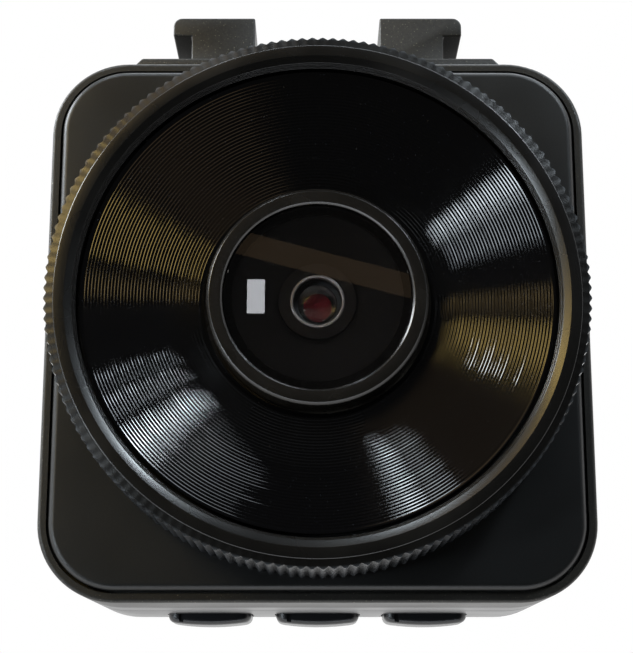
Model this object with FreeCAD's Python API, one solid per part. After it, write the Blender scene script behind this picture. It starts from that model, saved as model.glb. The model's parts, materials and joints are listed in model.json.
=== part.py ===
import FreeCAD, Part
import math
import os

# Dash camera with a knurled lens ring, held by two rails on its top shoe.
# Millimetres. +X is to the right seen from the front, +Y runs from the front to the back, +Z is up.
# The pieces are drawn about the lens axis, with Y = 0 on the plane of the front rim.
# They are then moved together, so that the origin lies in the middle of the shoe's seat.

vector = FreeCAD.Vector
fullTurn = 360  # degrees
sameDirection = 0.999  # cosine above which an edge counts as running along a direction
samePlane = 1e-4  # how far off a plane an edge may lie and still count as in it

# Casing
bodyWidth = 60.0
bodyHeight = 61.0
bodyDepth = 33.0
cornerRadius = 8.5
rearEdgeRadius = 6.0
wall = 1.8
frameDepth = 7.8
bandDepth = 6.4
seamGap = 0.15
seamRound = 0.25
rimWidth = 0.95
rimRound = 0.4
lipThickness = 0.7
lipLength = 2.0
lipAnchor = 0.8

# Fits between pieces
slipGap = 0.05
looseGap = 0.1
movingGap = 0.15
ringGap = 0.3

# Front panel and its seat
panelEdgeGap = 0.3
panelProud = 0.8
panelThickness = 1.65
panelEdgeRound = 1.4
adhesiveThickness = 0.15
ledgeThickness = 1.4
ledgeFlangeGap = 0.7

# Grip ring, with heights measured forward from the rim plane
ringWall = 3.45
toothDepth = 0.3
toothCount = 160
knurlHeight = 12.65
ringHeight = 13.0
ringShoulder = 0.05
ringChamferWidth = 1.0
ringFaceWidth = 1.15
ringBevelWidth = 0.75
ringBevelDepth = 0.35
threadSteps = 3
threadStepIn = 0.15
threadStepDown = 0.35
clipWidth = 0.9
clipHeight = 5.0
clipBite = 0.45
clipOpening = 4.0

# Lens housing
housingRadius = 24.6
housingWall = 1.6
housingHeight = 10.2
flangeWidth = 2.6
flangeThickness = 1.2
webHeight = 6.9
webThickness = 1.5
webHeadGap = 0.3
postRadius = 2.0
postHolderGap = 0.5

# Grooved dish
dishOuterHeight = 11.8
dishInnerHeight = 8.9
dishHubGap = 0.4
dishThickness = 0.95
dishSkirt = 0.8
dishMargin = 0.25
groovePitch = 0.33
grooveDepth = 0.06

# Hub, window glass and baffle
hubWall = 1.65
hubHeight = 11.9
hubBevel = 0.3
hubInnerBevel = 0.2
hubFlangeWidth = 1.45
hubFlangeThickness = 1.0
glassRadius = 9.8
glassThickness = 0.85
glassSunk = 0.4
glassLedge = 0.9
glassLedgeThickness = 0.3
gasketThickness = 0.15
baffleGlassStep = 0.2
baffleDrop = 1.6
baffleWall = 0.45

# Lens
barrelRadius = 6.0
barrelBack = 3.2
barrelHeadStep = 0.9
barrelHeadStart = 4.0
barrelHeadHeight = 8.0
noseWall = 1.2
noseHeight = 9.0
trimRingStep = 0.35
trimRingWidth = 0.3
trimRingDepth = 0.6
trimRingProud = 0.05
elementRadius = 2.5
frontElementEdge = 7.2
frontElementApex = 8.6
frontElementRim = 0.5
spacerHoleRadius = 1.9
spacerLength = 0.9
stopHoleRadius = 1.1
stopThickness = 0.2
middleElementLength = 1.4
middleElementRim = 0.6
tunnelRadius = 2.0
rearElementRadius = 4.2
rearElementFront = 0.4
rearElementBack = 2.2
rearElementBulge = 0.6

# Lens holder and image sensor
holderTowerWall = 1.6
holderTowerHeight = 3.6
holderBaseMargin = 2.0
holderBaseDepth = 3.8
filterSeatDepth = 1.8
filterSeatThickness = 0.6
filterSeatRadius = 3.4
filterSize = 9.6
filterThickness = 0.4
sensorSize = 7.0
sensorThickness = 0.9
sensorBoardFront = 6.4
sensorBoardMargin = 2.5
sensorBoardThickness = 1.0
sensorPlugWidth = 9.0
sensorPlugHeight = 3.0
sensorPlugThickness = 0.9
sensorPlugDrop = 7.5

# Flat cable from the sensor board to the main board
flexWidth = 7.0
flexThickness = 0.15
flexDropLength = 5.6

# Main board
boardEdgeGap = 1.0
boardHeight = 50.0
boardThickness = 1.2
boardScrewInset = 1.9
boardScrewZ = 14.5
boardPostRadius = 1.8
shieldWidth = 26.0
shieldHeight = 22.0
shieldDepth = 2.0
shieldWall = 0.2
shieldCentreZ = 5.0
processorSize = 12.0
memorySize = 8.0
chipThickness = 1.0
chipSpacing = 11.5
padThickness = 0.8
socketPlugThickness = 0.6
clockCellRadius = 2.4
clockCellThickness = 1.4
clockCellX = 19.0
clockCellZ = -8.0

# Battery
batteryWidth = 34.0
batteryHeight = 28.0
batteryDepth = 4.5
batteryCornerRadius = 1.5
tapeThickness = 0.2
tapeWidth = 20.0
tapeHeight = 18.0

# Memory card and power socket, both on the left side
cardLength = 15.0
cardWidth = 11.0
cardThickness = 0.8
cardSunk = 0.4
cardCentreZ = 5.5
cardCornerCut = 1.2
cardSocketSide = 1.3
cardSocketEnd = 1.15
cardSocketDepth = 1.9
cardSlotMargin = 0.5
powerCentreZ = -7.5
powerWidth = 7.7
powerHeight = 3.95
powerLength = 9.2
powerShell = 0.4
powerTongueThickness = 0.9
powerTongueInset = 1.4
powerOpeningMargin = 0.35

# Speaker and microphone
speakerThickness = 3.2
speakerDepth = 8.0
speakerLength = 15.0
speakerStandoff = 6.3
speakerRound = 2.0
speakerFoam = 0.25
soundSlotCount = 6
soundSlotPitch = 2.0
soundSlotWidth = 0.8
soundSlotLength = 5.4
microphoneRadius = 2.0
microphoneThickness = 1.5
microphoneX = -14.0
rearHoleZ = -21.2
soundHoleRadius = 0.5
lightRadius = 0.8
lightX = 14.0
lightCollar = 0.5

# Buttons on the underside
buttonWidth = 9.8
buttonLength = 6.4
buttonSpace = 2.9
buttonProud = 1.3
buttonCrown = 0.4
buttonCornerRadius = 1.2
buttonFlange = 0.8
buttonFlangeWidth = 0.7
buttonStemSize = 2.4
buttonTravel = 0.5
markWidth = 0.5
markDepth = 0.25
markOffset = 1.3
plungerRadius = 1.1
plungerLength = 1.6
plungerShown = 0.8
switchWidth = 6.0
switchDepth = 5.0
switchHeight = 3.6
switchInset = 0.6
switchReach = 3.0

# Display at the back
viewWidth = 41.5
viewHeight = 31.5
windowBorder = 2.25
windowCornerRadius = 2.0
windowThickness = 0.95
windowPocket = 1.0
displaySide = 2.05
displayEnd = 3.05
displayThickness = 2.3
displayStandoff = 1.2
displayGasketThickness = 0.3
displayGasketMargin = 1.6
displayPlugWidth = 18.0
displayPlugHeight = 4.0
displayPlugZ = -13.0

# Shoe with two rails
padWidth = 42.8
padFront = 4.0
padLength = 20.0
padHeight = 2.3
padChamfer = 0.8
railOuter = 34.2
railWidth = 9.7
railFrontInset = 1.5
railLength = 17.0
railHeight = 5.8
railLipThickness = 2.3
railLipReach = 2.2
railCornerRadius = 1.6
seatWidth = 12.0
seatLength = 9.0
seatHeight = 0.4

# Screws
caseScrewInset = 7.5
caseScrewRadius = 1.0
caseScrewHeadRadius = 1.9
caseScrewHeadHeight = 1.3
caseScrewSunk = 0.3
caseScrewEngagement = 4.85
casePostRadius = 3.0
caseBossRadius = 2.6
smallScrewRadius = 0.7
smallScrewHeadRadius = 1.3
smallScrewHeadHeight = 0.8
flangeScrewLength = 2.0
boardScrewLength = 3.6
shoeScrewRailSpacing = 4.2
shoeScrewHeadRadius = 1.6
shoeScrewRailInset = 2.3
shoeScrewLength = 5.4
driveRadius = 0.55
driveDepth = 0.5

# Places that follow from the sizes above
panelBack = panelThickness - panelProud
ledgeFront = panelBack + adhesiveThickness
bandFront = frameDepth + seamGap
bandBack = bandFront + bandDepth
rearFront = bandBack + seamGap
rearInner = bodyDepth - wall
sideInner = bodyWidth / 2 - wall
bodyTop = bodyHeight / 2
ringBack = panelProud + ringGap
ringBoreRadius = housingRadius + slipGap
ringRadius = ringBoreRadius + ringWall
toothRootRadius = ringRadius - toothDepth
ringFaceRadius = ringRadius - ringChamferWidth
ringLipRadius = ringFaceRadius - ringFaceWidth
ringBevelRadius = ringLipRadius - ringBevelWidth
housingBoreRadius = housingRadius - housingWall
flangeRadius = housingRadius + flangeWidth
flangeScrewRadius = housingRadius + flangeWidth / 2
ledgeBoreRadius = flangeRadius + ledgeFlangeGap
dishRadius = housingRadius - looseGap
webBack = webHeight - webThickness
hubBoreRadius = glassRadius + slipGap
hubRadius = hubBoreRadius + hubWall
hubFlangeRadius = hubRadius + hubFlangeWidth
baffleRadius = glassRadius - baffleGlassStep
trimRingRadius = elementRadius + trimRingStep
noseRadius = trimRingRadius + noseWall
baffleHoleRadius = noseRadius + looseGap
barrelHeadRadius = barrelRadius + barrelHeadStep
webBoreRadius = barrelHeadRadius + webHeadGap
holderTowerRadius = barrelRadius + holderTowerWall
holderBaseSize = 2 * (barrelRadius + holderBaseMargin)
postSpacing = holderBaseSize + 2 * (postRadius + postHolderGap)
sensorBoardSize = postSpacing + 2 * sensorBoardMargin
glassBack = hubHeight - glassSunk - glassThickness
glassLedgeHeight = glassBack - gasketThickness
stopHeight = frontElementEdge - spacerLength
displayBack = rearInner - displayGasketThickness
displayFront = displayBack - displayThickness
displayWidth = viewWidth + 2 * displaySide
displayHeight = viewHeight + 2 * displayEnd
windowWidth = viewWidth + 2 * windowBorder
windowHeight = viewHeight + 2 * windowBorder
boardBack = displayFront - displayStandoff
boardFront = boardBack - boardThickness
boardWidth = 2 * (sideInner - boardEdgeGap)
speakerFront = boardFront - speakerStandoff
boardScrewX = boardWidth / 2 - boardScrewInset
caseScrewX = bodyWidth / 2 - caseScrewInset
caseScrewZ = bodyHeight / 2 - caseScrewInset
caseScrewSeat = bodyDepth - caseScrewSunk - caseScrewHeadHeight
caseScrewTip = rearFront - slipGap - caseScrewEngagement
cardCentreY = boardFront - cardSocketDepth / 2
powerCentreY = boardFront - powerHeight / 2
buttonCentreY = boardFront - switchReach
buttonFront = buttonCentreY - buttonLength / 2
buttonPitch = buttonWidth + buttonSpace
buttonXs = {"left": -buttonPitch, "middle": 0.0, "right": buttonPitch}
switchBottom = -boardHeight / 2 + switchInset
flangeTop = -bodyTop + wall + slipGap + buttonFlange
plungerBottom = switchBottom - plungerShown
padTop = bodyTop + padHeight
padCentreY = padFront + padLength / 2
railFront = padFront + railFrontInset
origin = vector(0, padCentreY, padTop + seatHeight)


# A box between two values on each axis.
def block(xLow, xHigh, yLow, yHigh, zLow, zHigh):
    corner = vector(xLow, yLow, zLow)
    return Part.makeBox(xHigh - xLow, yHigh - yLow, zHigh - zLow, corner)


# A box given by its centre in X and Z, its size there, and its stretch of Y.
def slab(width, height, yLow, yHigh, x=0.0, z=0.0):
    return block(x - width / 2, x + width / 2, yLow, yHigh, z - height / 2, z + height / 2)


# A cylinder along Y.
def rod(radius, yLow, yHigh, x=0.0, z=0.0):
    return Part.makeCylinder(radius, yHigh - yLow, vector(x, yLow, z), vector(0, 1, 0))


# A ring along Y.
def tube(outerRadius, innerRadius, yLow, yHigh, x=0.0, z=0.0):
    return rod(outerRadius, yLow, yHigh, x, z).cut(rod(innerRadius, yLow, yHigh, x, z))


# A cylinder along Z.
def upright(radius, zLow, zHigh, x, y):
    return Part.makeCylinder(radius, zHigh - zLow, vector(x, y, zLow), vector(0, 0, 1))


# A closed outline of (radius, height) points turned about the lens axis.
# Height counts forward from the rim plane, so it is -Y.
def turned(outline):
    points = [vector(radius, -height, 0) for radius, height in outline]
    face = Part.Face(Part.makePolygon(points + points[:1]))
    solid = face.revolve(vector(0, 0, 0), vector(0, 1, 0), fullTurn)
    return solid if solid.Volume > 0 else solid.reversed()


# The straight edges of a shape that run along one direction.
def edgesAlong(shape, direction):
    straight = [edge for edge in shape.Edges if isinstance(edge.Curve, Part.Line)]
    return [edge for edge in straight if abs(edge.Curve.Direction.dot(direction)) > sameDirection]


# The edges of a shape that lie in one plane of constant Y.
def edgesAtY(shape, y):
    return [
        edge for edge in shape.Edges
        if abs(edge.BoundBox.YMin - y) < samePlane and abs(edge.BoundBox.YMax - y) < samePlane
    ]


# A plate across Y with its four corners rounded.
def roundedSlab(width, height, radius, yLow, yHigh, x=0.0, z=0.0):
    plate = slab(width, height, yLow, yHigh, x, z)
    return plate.makeFillet(radius, edgesAlong(plate, vector(0, 1, 0)))


# The casing's section, drawn in by an inset from its outside.
def casing(inset, yLow, yHigh):
    width = bodyWidth - 2 * inset
    height = bodyHeight - 2 * inset
    return roundedSlab(width, height, cornerRadius - inset, yLow, yHigh)


# Four places in a rectangle about the lens axis.
def fourPlaces(x, z):
    return [(-x, -z), (-x, z), (x, -z), (x, z)]


# The corner posts and bosses that the case screws run through.
def casePlaces():
    return fourPlaces(caseScrewX, caseScrewZ)


# The posts behind the sensor board.
def sensorPlaces():
    return fourPlaces(postSpacing / 2, postSpacing / 2)


# The posts behind the main board.
def boardPlaces():
    return fourPlaces(boardScrewX, boardScrewZ)


# Several shapes joined into one solid.
def joined(shapes):
    first, *others = shapes
    return first.fuse(others).removeSplitter()


# A shape with several others taken away.
def without(shape, cutters):
    return shape.cut(Part.makeCompound(cutters))


# A pan-head screw along Y, driven from the back, with the head's seat at one Y.
def screwFromBack(radius, headRadius, headHeight, length, seatY, x, z):
    head = rod(headRadius, seatY, seatY + headHeight, x, z)
    shank = rod(radius, seatY - length, seatY, x, z)
    recess = rod(driveRadius, seatY + headHeight - driveDepth, seatY + headHeight, x, z)
    return head.fuse(shank).cut(recess)


def makeFrontFrame():
    outer = casing(0, 0, frameDepth)
    outer = outer.makeFillet(rimRound, edgesAtY(outer, 0))
    outer = outer.makeFillet(seamRound, edgesAtY(outer, frameDepth))
    pocket = casing(rimWidth, 0, ledgeFront)
    hollow = casing(wall, ledgeFront + ledgeThickness, frameDepth)
    bore = rod(ledgeBoreRadius, ledgeFront, ledgeFront + ledgeThickness)
    shell = without(outer, [pocket, hollow, bore])
    lipOuter = wall + slipGap
    lip = casing(lipOuter, frameDepth - lipAnchor, frameDepth + lipLength)
    lip = lip.cut(casing(lipOuter + lipThickness, frameDepth - lipAnchor, frameDepth + lipLength))
    tie = casing(wall, frameDepth - lipAnchor, frameDepth - seamRound)
    tie = tie.cut(casing(lipOuter, frameDepth - lipAnchor, frameDepth - seamRound))
    bossBack = rearFront - slipGap
    corners = casePlaces()
    bosses = [rod(caseBossRadius, ledgeFront, bossBack, x, z) for x, z in corners]
    frame = joined([shell, lip, tie] + bosses)
    threadRadius = caseScrewRadius + slipGap
    threads = [rod(threadRadius, ledgeFront + ledgeThickness, bossBack, x, z) for x, z in corners]
    return without(frame, threads)


def makeMiddleBand():
    band = casing(0, bandFront, bandBack)
    band = band.makeFillet(seamRound, edgesAtY(band, bandFront) + edgesAtY(band, bandBack))
    return band.cut(casing(wall, bandFront, bandBack))


def makeRearShell():
    outer = casing(0, rearFront, bodyDepth)
    outer = outer.makeFillet(rearEdgeRadius, edgesAtY(outer, bodyDepth))
    outer = outer.makeFillet(seamRound, edgesAtY(outer, rearFront))
    hollow = casing(wall, rearFront, rearInner)
    hollow = hollow.makeFillet(rearEdgeRadius - wall, edgesAtY(hollow, rearInner))
    lipOuter = wall + slipGap
    lip = casing(lipOuter, rearFront - lipLength, rearFront + lipAnchor)
    lip = lip.cut(casing(lipOuter + lipThickness, rearFront - lipLength, rearFront + lipAnchor))
    tie = casing(wall, rearFront + seamRound, rearFront + lipAnchor)
    tie = tie.cut(casing(lipOuter, rearFront + seamRound, rearFront + lipAnchor))
    corners = casePlaces()
    casePosts = [rod(casePostRadius, rearFront, rearInner + wall / 2, x, z) for x, z in corners]
    boardPosts = [rod(boardPostRadius, boardBack, rearInner + wall / 2, x, z) for x, z in boardPlaces()]
    posts = joined(casePosts + boardPosts).common(outer)
    shell = joined([outer.cut(hollow), lip, tie, posts])
    return without(shell, rearShellOpenings())


# Everything that is cut through the rear shell.
def rearShellOpenings():
    return displayOpenings() + screwOpenings() + sideOpenings() + buttonOpenings() + rearHoles()


def displayOpenings():
    pocketRadius = windowCornerRadius
    pocket = roundedSlab(windowWidth, windowHeight, pocketRadius, bodyDepth - windowPocket, bodyDepth)
    view = slab(viewWidth, viewHeight, rearInner, bodyDepth - windowPocket)
    return [pocket, view]


def screwOpenings():
    openings = []
    for x, z in casePlaces():
        openings.append(rod(caseScrewRadius + looseGap, rearFront, caseScrewSeat, x, z))
        openings.append(rod(caseScrewHeadRadius + looseGap, caseScrewSeat, bodyDepth, x, z))
    for x, z in boardPlaces():
        openings.append(rod(smallScrewRadius + slipGap, boardBack, rearInner, x, z))
    for x, y in shoeScrewPlaces():
        openings.append(upright(caseScrewRadius + looseGap, bodyTop - wall, bodyTop, x, y))
    return openings


def sideOpenings():
    slotWidth = cardWidth + 2 * cardSlotMargin
    slotThickness = cardThickness + 2 * cardSlotMargin
    outside = bodyWidth / 2
    card = block(
        -outside, -sideInner,
        cardCentreY - slotThickness / 2, cardCentreY + slotThickness / 2,
        cardCentreZ - slotWidth / 2, cardCentreZ + slotWidth / 2,
    )
    powerZ = powerWidth / 2 + powerOpeningMargin
    powerY = powerHeight / 2 + powerOpeningMargin
    power = block(
        -outside, -sideInner,
        powerCentreY - powerY, powerCentreY + powerY,
        powerCentreZ - powerZ, powerCentreZ + powerZ,
    )
    slotFront = speakerFront + (speakerDepth - soundSlotLength) / 2
    firstSlotZ = -(soundSlotCount - 1) * soundSlotPitch / 2
    slots = [
        block(
            sideInner, outside, slotFront, slotFront + soundSlotLength,
            firstSlotZ + index * soundSlotPitch - soundSlotWidth / 2,
            firstSlotZ + index * soundSlotPitch + soundSlotWidth / 2,
        )
        for index in range(soundSlotCount)
    ]
    return [card, power] + slots


def buttonOpenings():
    return [
        buttonColumn(x, movingGap, -bodyTop, -bodyTop + wall)
        for x in buttonXs.values()
    ]


def rearHoles():
    soundHole = rod(soundHoleRadius, rearInner, bodyDepth, microphoneX, rearHoleZ)
    lightHole = rod(lightRadius + slipGap, rearInner, bodyDepth, lightX, rearHoleZ)
    return [soundHole, lightHole]


# The upright prism that a button or its hole fills, grown sideways by a margin.
def buttonColumn(x, margin, zLow, zHigh):
    column = block(
        x - buttonWidth / 2 - margin, x + buttonWidth / 2 + margin,
        buttonFront - margin, buttonFront + buttonLength + margin,
        zLow, zHigh,
    )
    return column.makeFillet(buttonCornerRadius + margin, edgesAlong(column, vector(0, 0, 1)))


def makeFrontPanel():
    inset = rimWidth + panelEdgeGap
    panel = casing(inset, -panelProud, panelBack)
    panel = panel.makeFillet(panelEdgeRound, edgesAtY(panel, -panelProud))
    bore = rod(housingRadius + looseGap, -panelProud, panelBack)
    holeDepth = flangeScrewLength - flangeThickness + slipGap
    screwHoles = [
        rod(smallScrewRadius + slipGap, panelBack - holeDepth, panelBack, x, z)
        for x, z in flangeScrewPlaces()
    ]
    return without(panel, [bore] + screwHoles)


def makePanelAdhesive():
    strip = casing(rimWidth + panelEdgeGap, panelBack, ledgeFront)
    return strip.cut(rod(ledgeBoreRadius, panelBack, ledgeFront))


# The four flange screws stand on the diagonals.
def flangeScrewPlaces():
    diagonal = flangeScrewRadius / math.sqrt(2)
    return fourPlaces(diagonal, diagonal)


def makeGripRing():
    teeth = knurledPrism().cut(rod(ringBoreRadius, -knurlHeight, -ringBack))
    shoulder = toothRootRadius - ringShoulder
    front = turned([
        (ringBoreRadius, knurlHeight),
        (shoulder, knurlHeight),
        (ringFaceRadius, ringHeight),
        (ringBoreRadius, ringHeight),
    ])
    return teeth.fuse(front).cut(ringInside())


# The toothed outside of the ring: straight V teeth along the lens axis.
def knurledPrism():
    points = []
    for index in range(2 * toothCount):
        angle = math.pi * index / toothCount
        radius = ringRadius if index % 2 == 0 else toothRootRadius
        points.append(vector(radius * math.cos(angle), -knurlHeight, radius * math.sin(angle)))
    face = Part.Face(Part.makePolygon(points + points[:1]))
    return face.extrude(vector(0, knurlHeight - ringBack, 0))


# The ring's bore: a groove for the clip, then in front of the housing steps that widen forward to a bevel.
def ringInside():
    clipGrooveRadius = ringBoreRadius + clipBite + looseGap
    clipBack = clipHeight - looseGap
    clipFront = clipHeight + clipWidth + looseGap
    outline = [
        (ringBoreRadius - ringGap, clipBack),
        (clipGrooveRadius, clipBack),
        (clipGrooveRadius, clipFront),
        (ringBoreRadius - ringGap, clipFront),
    ]
    groove = turned(outline)
    bevelEnd = ringHeight - ringBevelDepth
    bevel = turned([
        (0, bevelEnd),
        (ringBevelRadius, bevelEnd),
        (ringLipRadius, ringHeight),
        (0, ringHeight),
    ])
    steps = [bevel]
    for index in range(threadSteps):
        radius = ringBevelRadius - index * threadStepIn
        top = bevelEnd - index * threadStepDown
        steps.append(rod(radius, -top, -(housingHeight + looseGap)))
    return Part.makeCompound([groove, joined(steps)])


def makeRingClip():
    outline = [
        (housingRadius - clipBite, clipHeight),
        (housingRadius + clipBite, clipHeight),
        (housingRadius + clipBite, clipHeight + clipWidth),
        (housingRadius - clipBite, clipHeight + clipWidth),
    ]
    opening = block(
        -clipOpening / 2, clipOpening / 2,
        -clipHeight - clipWidth, -clipHeight,
        -housingRadius - 2 * clipBite, 0,
    )
    return turned(outline).cut(opening)


def makeLensHousing():
    flangeBack = -(panelBack + flangeThickness)
    body = turned([
        (housingBoreRadius, flangeBack),
        (flangeRadius, flangeBack),
        (flangeRadius, -panelBack),
        (housingRadius, -panelBack),
        (housingRadius, housingHeight),
        (housingBoreRadius, housingHeight),
        (housingBoreRadius, webHeight),
        (webBoreRadius, webHeight),
        (webBoreRadius, webBack),
        (housingBoreRadius, webBack),
    ])
    clipGroove = turned([
        (housingRadius - clipBite - slipGap, clipHeight - slipGap),
        (housingRadius + clipBite, clipHeight - slipGap),
        (housingRadius + clipBite, clipHeight + clipWidth + slipGap),
        (housingRadius - clipBite - slipGap, clipHeight + clipWidth + slipGap),
    ])
    corners = sensorPlaces()
    posts = [rod(postRadius, -webBack, sensorBoardFront, x, z) for x, z in corners]
    holeRadius = smallScrewRadius + slipGap
    holes = [rod(holeRadius, sensorBoardFront - boardScrewLength, sensorBoardFront, x, z) for x, z in corners]
    holes += [rod(holeRadius + slipGap, panelBack, -flangeBack, x, z) for x, z in flangeScrewPlaces()]
    return without(joined([body] + posts), [clipGroove] + holes)


def makeGroovedDish():
    dishBoreRadius = hubRadius + dishHubGap
    slope = (dishOuterHeight - dishInnerHeight) / (dishRadius - dishBoreRadius)
    grooveCount = int((dishRadius - dishBoreRadius - 2 * dishMargin) / groovePitch)
    skirtRadius = housingBoreRadius - looseGap
    outline = [
        (dishBoreRadius, dishInnerHeight - dishThickness),
        (skirtRadius, housingHeight - dishSkirt),
        (skirtRadius, housingHeight),
        (dishRadius, housingHeight),
        (dishRadius, dishOuterHeight),
    ]
    # Each groove is a shallow V cut square to the slope
    for index in range(grooveCount):
        lipRadius = dishRadius - dishMargin - index * groovePitch
        valleyRadius = lipRadius - groovePitch / 2
        outline.append((lipRadius, dishOuterHeight - slope * (dishRadius - lipRadius)))
        outline.append((valleyRadius, dishOuterHeight - slope * (dishRadius - valleyRadius) - grooveDepth))
    lastRadius = dishRadius - dishMargin - grooveCount * groovePitch
    outline.append((lastRadius, dishOuterHeight - slope * (dishRadius - lastRadius)))
    outline.append((dishBoreRadius, dishInnerHeight))
    return turned(outline)


def makeHubRing():
    ledgeRadius = glassRadius - glassLedge
    boreRadius = baffleRadius + slipGap
    return turned([
        (boreRadius, webHeight),
        (hubFlangeRadius, webHeight),
        (hubFlangeRadius, webHeight + hubFlangeThickness),
        (hubRadius, webHeight + hubFlangeThickness),
        (hubRadius, hubHeight - hubBevel),
        (hubRadius - hubBevel, hubHeight),
        (hubBoreRadius + hubInnerBevel, hubHeight),
        (hubBoreRadius, hubHeight - hubInnerBevel),
        (hubBoreRadius, glassLedgeHeight),
        (ledgeRadius, glassLedgeHeight),
        (ledgeRadius, glassLedgeHeight - glassLedgeThickness),
        (boreRadius, glassLedgeHeight - glassLedgeThickness),
    ])


def makeCoverGlass():
    return rod(glassRadius, -(glassBack + glassThickness), -glassBack)


def makeGlassGasket():
    return tube(glassRadius, glassRadius - glassLedge, -glassBack, -glassLedgeHeight)


def makeLensBaffle():
    rim = glassLedgeHeight - glassLedgeThickness - slipGap
    return turned([
        (baffleRadius, webHeight),
        (baffleRadius, rim),
        (baffleHoleRadius, rim - baffleDrop),
        (baffleHoleRadius, rim - baffleDrop - baffleWall),
        (baffleRadius - baffleWall, rim - baffleWall),
        (baffleRadius - baffleWall, webHeight),
    ])


def makeLensBarrel():
    outside = turned([
        (0, -barrelBack),
        (barrelRadius, -barrelBack),
        (barrelRadius, barrelHeadStart),
        (barrelHeadRadius, barrelHeadStart),
        (barrelHeadRadius, barrelHeadHeight),
        (noseRadius, barrelHeadHeight),
        (noseRadius, noseHeight),
        (0, noseHeight),
    ])
    middleBack = stopHeight - stopThickness - middleElementLength
    return without(outside, [
        rod(trimRingRadius + slipGap, -noseHeight, -(noseHeight - trimRingDepth)),
        rod(elementRadius + slipGap, -(noseHeight - trimRingDepth), -middleBack),
        rod(tunnelRadius, -middleBack, rearElementFront),
        rod(rearElementRadius + slipGap, rearElementFront, barrelBack),
    ])


def makeLensTrimRing():
    front = -(noseHeight + trimRingProud)
    return tube(trimRingRadius, trimRingRadius - trimRingWidth, front, -(noseHeight - trimRingDepth))


# A glass element: a short cylinder with one domed end.
def domedElement(radius, flatY, rimY, apexY):
    edge = vector(radius, rimY, 0)
    apex = vector(0, apexY, 0)
    rise = apexY - rimY
    sphereRadius = (radius * radius + rise * rise) / (2 * abs(rise))
    centreY = apexY - math.copysign(sphereRadius, rise)
    halfAngle = math.asin(radius / sphereRadius) / 2
    middle = vector(
        sphereRadius * math.sin(halfAngle),
        centreY + math.copysign(sphereRadius * math.cos(halfAngle), rise),
        0,
    )
    foot = vector(0, flatY, 0)
    base = vector(radius, flatY, 0)
    edges = [
        Part.makeLine(foot, base),
        Part.makeLine(base, edge),
        Part.Arc(edge, middle, apex).toShape(),
        Part.makeLine(apex, foot),
    ]
    solid = Part.Face(Part.Wire(edges)).revolve(vector(0, 0, 0), vector(0, 1, 0), fullTurn)
    return solid if solid.Volume > 0 else solid.reversed()


def makeFrontElement():
    rim = -(frontElementEdge + frontElementRim)
    return domedElement(elementRadius, -frontElementEdge, rim, -frontElementApex)


def makeLensSpacer():
    return tube(elementRadius, spacerHoleRadius, -frontElementEdge, -stopHeight)


def makeApertureStop():
    return tube(elementRadius, stopHoleRadius, -stopHeight, -(stopHeight - stopThickness))


def makeMiddleElement():
    front = stopHeight - stopThickness
    back = front - middleElementLength
    return domedElement(elementRadius, -back, -(back + middleElementRim), -front)


def makeRearElement():
    rim = rearElementBack
    return domedElement(rearElementRadius, rearElementFront, rim, rim + rearElementBulge)


def makeLensHolder():
    baseFront = sensorBoardFront - holderBaseDepth
    tower = rod(holderTowerRadius, -holderTowerHeight, baseFront)
    base = slab(holderBaseSize, holderBaseSize, baseFront, sensorBoardFront)
    seatBack = sensorBoardFront - filterSeatDepth
    seatFront = seatBack - filterSeatThickness
    cavitySize = filterSize + 2 * looseGap
    return without(joined([tower, base]), [
        rod(barrelRadius + slipGap, -holderTowerHeight, seatFront),
        rod(filterSeatRadius, seatFront, seatBack),
        slab(cavitySize, cavitySize, seatBack, sensorBoardFront),
    ])


def makeInfraredFilter():
    front = sensorBoardFront - filterSeatDepth
    return slab(filterSize, filterSize, front, front + filterThickness)


def makeImageSensor():
    return slab(sensorSize, sensorSize, sensorBoardFront - sensorThickness, sensorBoardFront)


def makeSensorBoard():
    back = sensorBoardFront + sensorBoardThickness
    board = slab(sensorBoardSize, sensorBoardSize, sensorBoardFront, back)
    holes = [
        rod(smallScrewRadius + looseGap, sensorBoardFront, back, x, z)
        for x, z in sensorPlaces()
    ]
    return without(board, holes)


def makeSensorScrews():
    seatY = sensorBoardFront + sensorBoardThickness
    length = boardScrewLength
    return Part.makeCompound([
        screwFromBack(smallScrewRadius, smallScrewHeadRadius, smallScrewHeadHeight, length, seatY, x, z)
        for x, z in sensorPlaces()
    ])


def makeHousingScrews():
    seatY = panelBack + flangeThickness
    return Part.makeCompound([
        screwFromBack(
            smallScrewRadius, smallScrewHeadRadius, smallScrewHeadHeight, flangeScrewLength, seatY, x, z)
        for x, z in flangeScrewPlaces()
    ])


def makeSensorPlug():
    front = sensorBoardFront + sensorBoardThickness
    return slab(sensorPlugWidth, sensorPlugHeight, front, front + sensorPlugThickness, 0, -sensorPlugDrop)


# The flat cable drops behind the sensor board, runs back, then drops to the main board's plug.
def makeSensorFlex():
    frontY = sensorBoardFront + sensorBoardThickness + sensorPlugThickness
    backY = boardFront - socketPlugThickness - flexThickness
    topZ = -sensorPlugDrop + sensorPlugHeight / 2
    turnZ = topZ - flexDropLength
    endZ = turnZ - sensorPlugHeight
    dropFront = block(-flexWidth / 2, flexWidth / 2, frontY, frontY + flexThickness, turnZ, topZ)
    run = block(-flexWidth / 2, flexWidth / 2, frontY, backY + flexThickness, turnZ, turnZ + flexThickness)
    dropBack = block(-flexWidth / 2, flexWidth / 2, backY, backY + flexThickness, endZ, turnZ + flexThickness)
    return joined([dropFront, run, dropBack])


def makeBoardPlug():
    topZ = -sensorPlugDrop + sensorPlugHeight / 2 - flexDropLength
    centreZ = topZ - sensorPlugHeight / 2
    return slab(sensorPlugWidth, sensorPlugHeight, boardFront - socketPlugThickness, boardFront, 0, centreZ)


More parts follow.
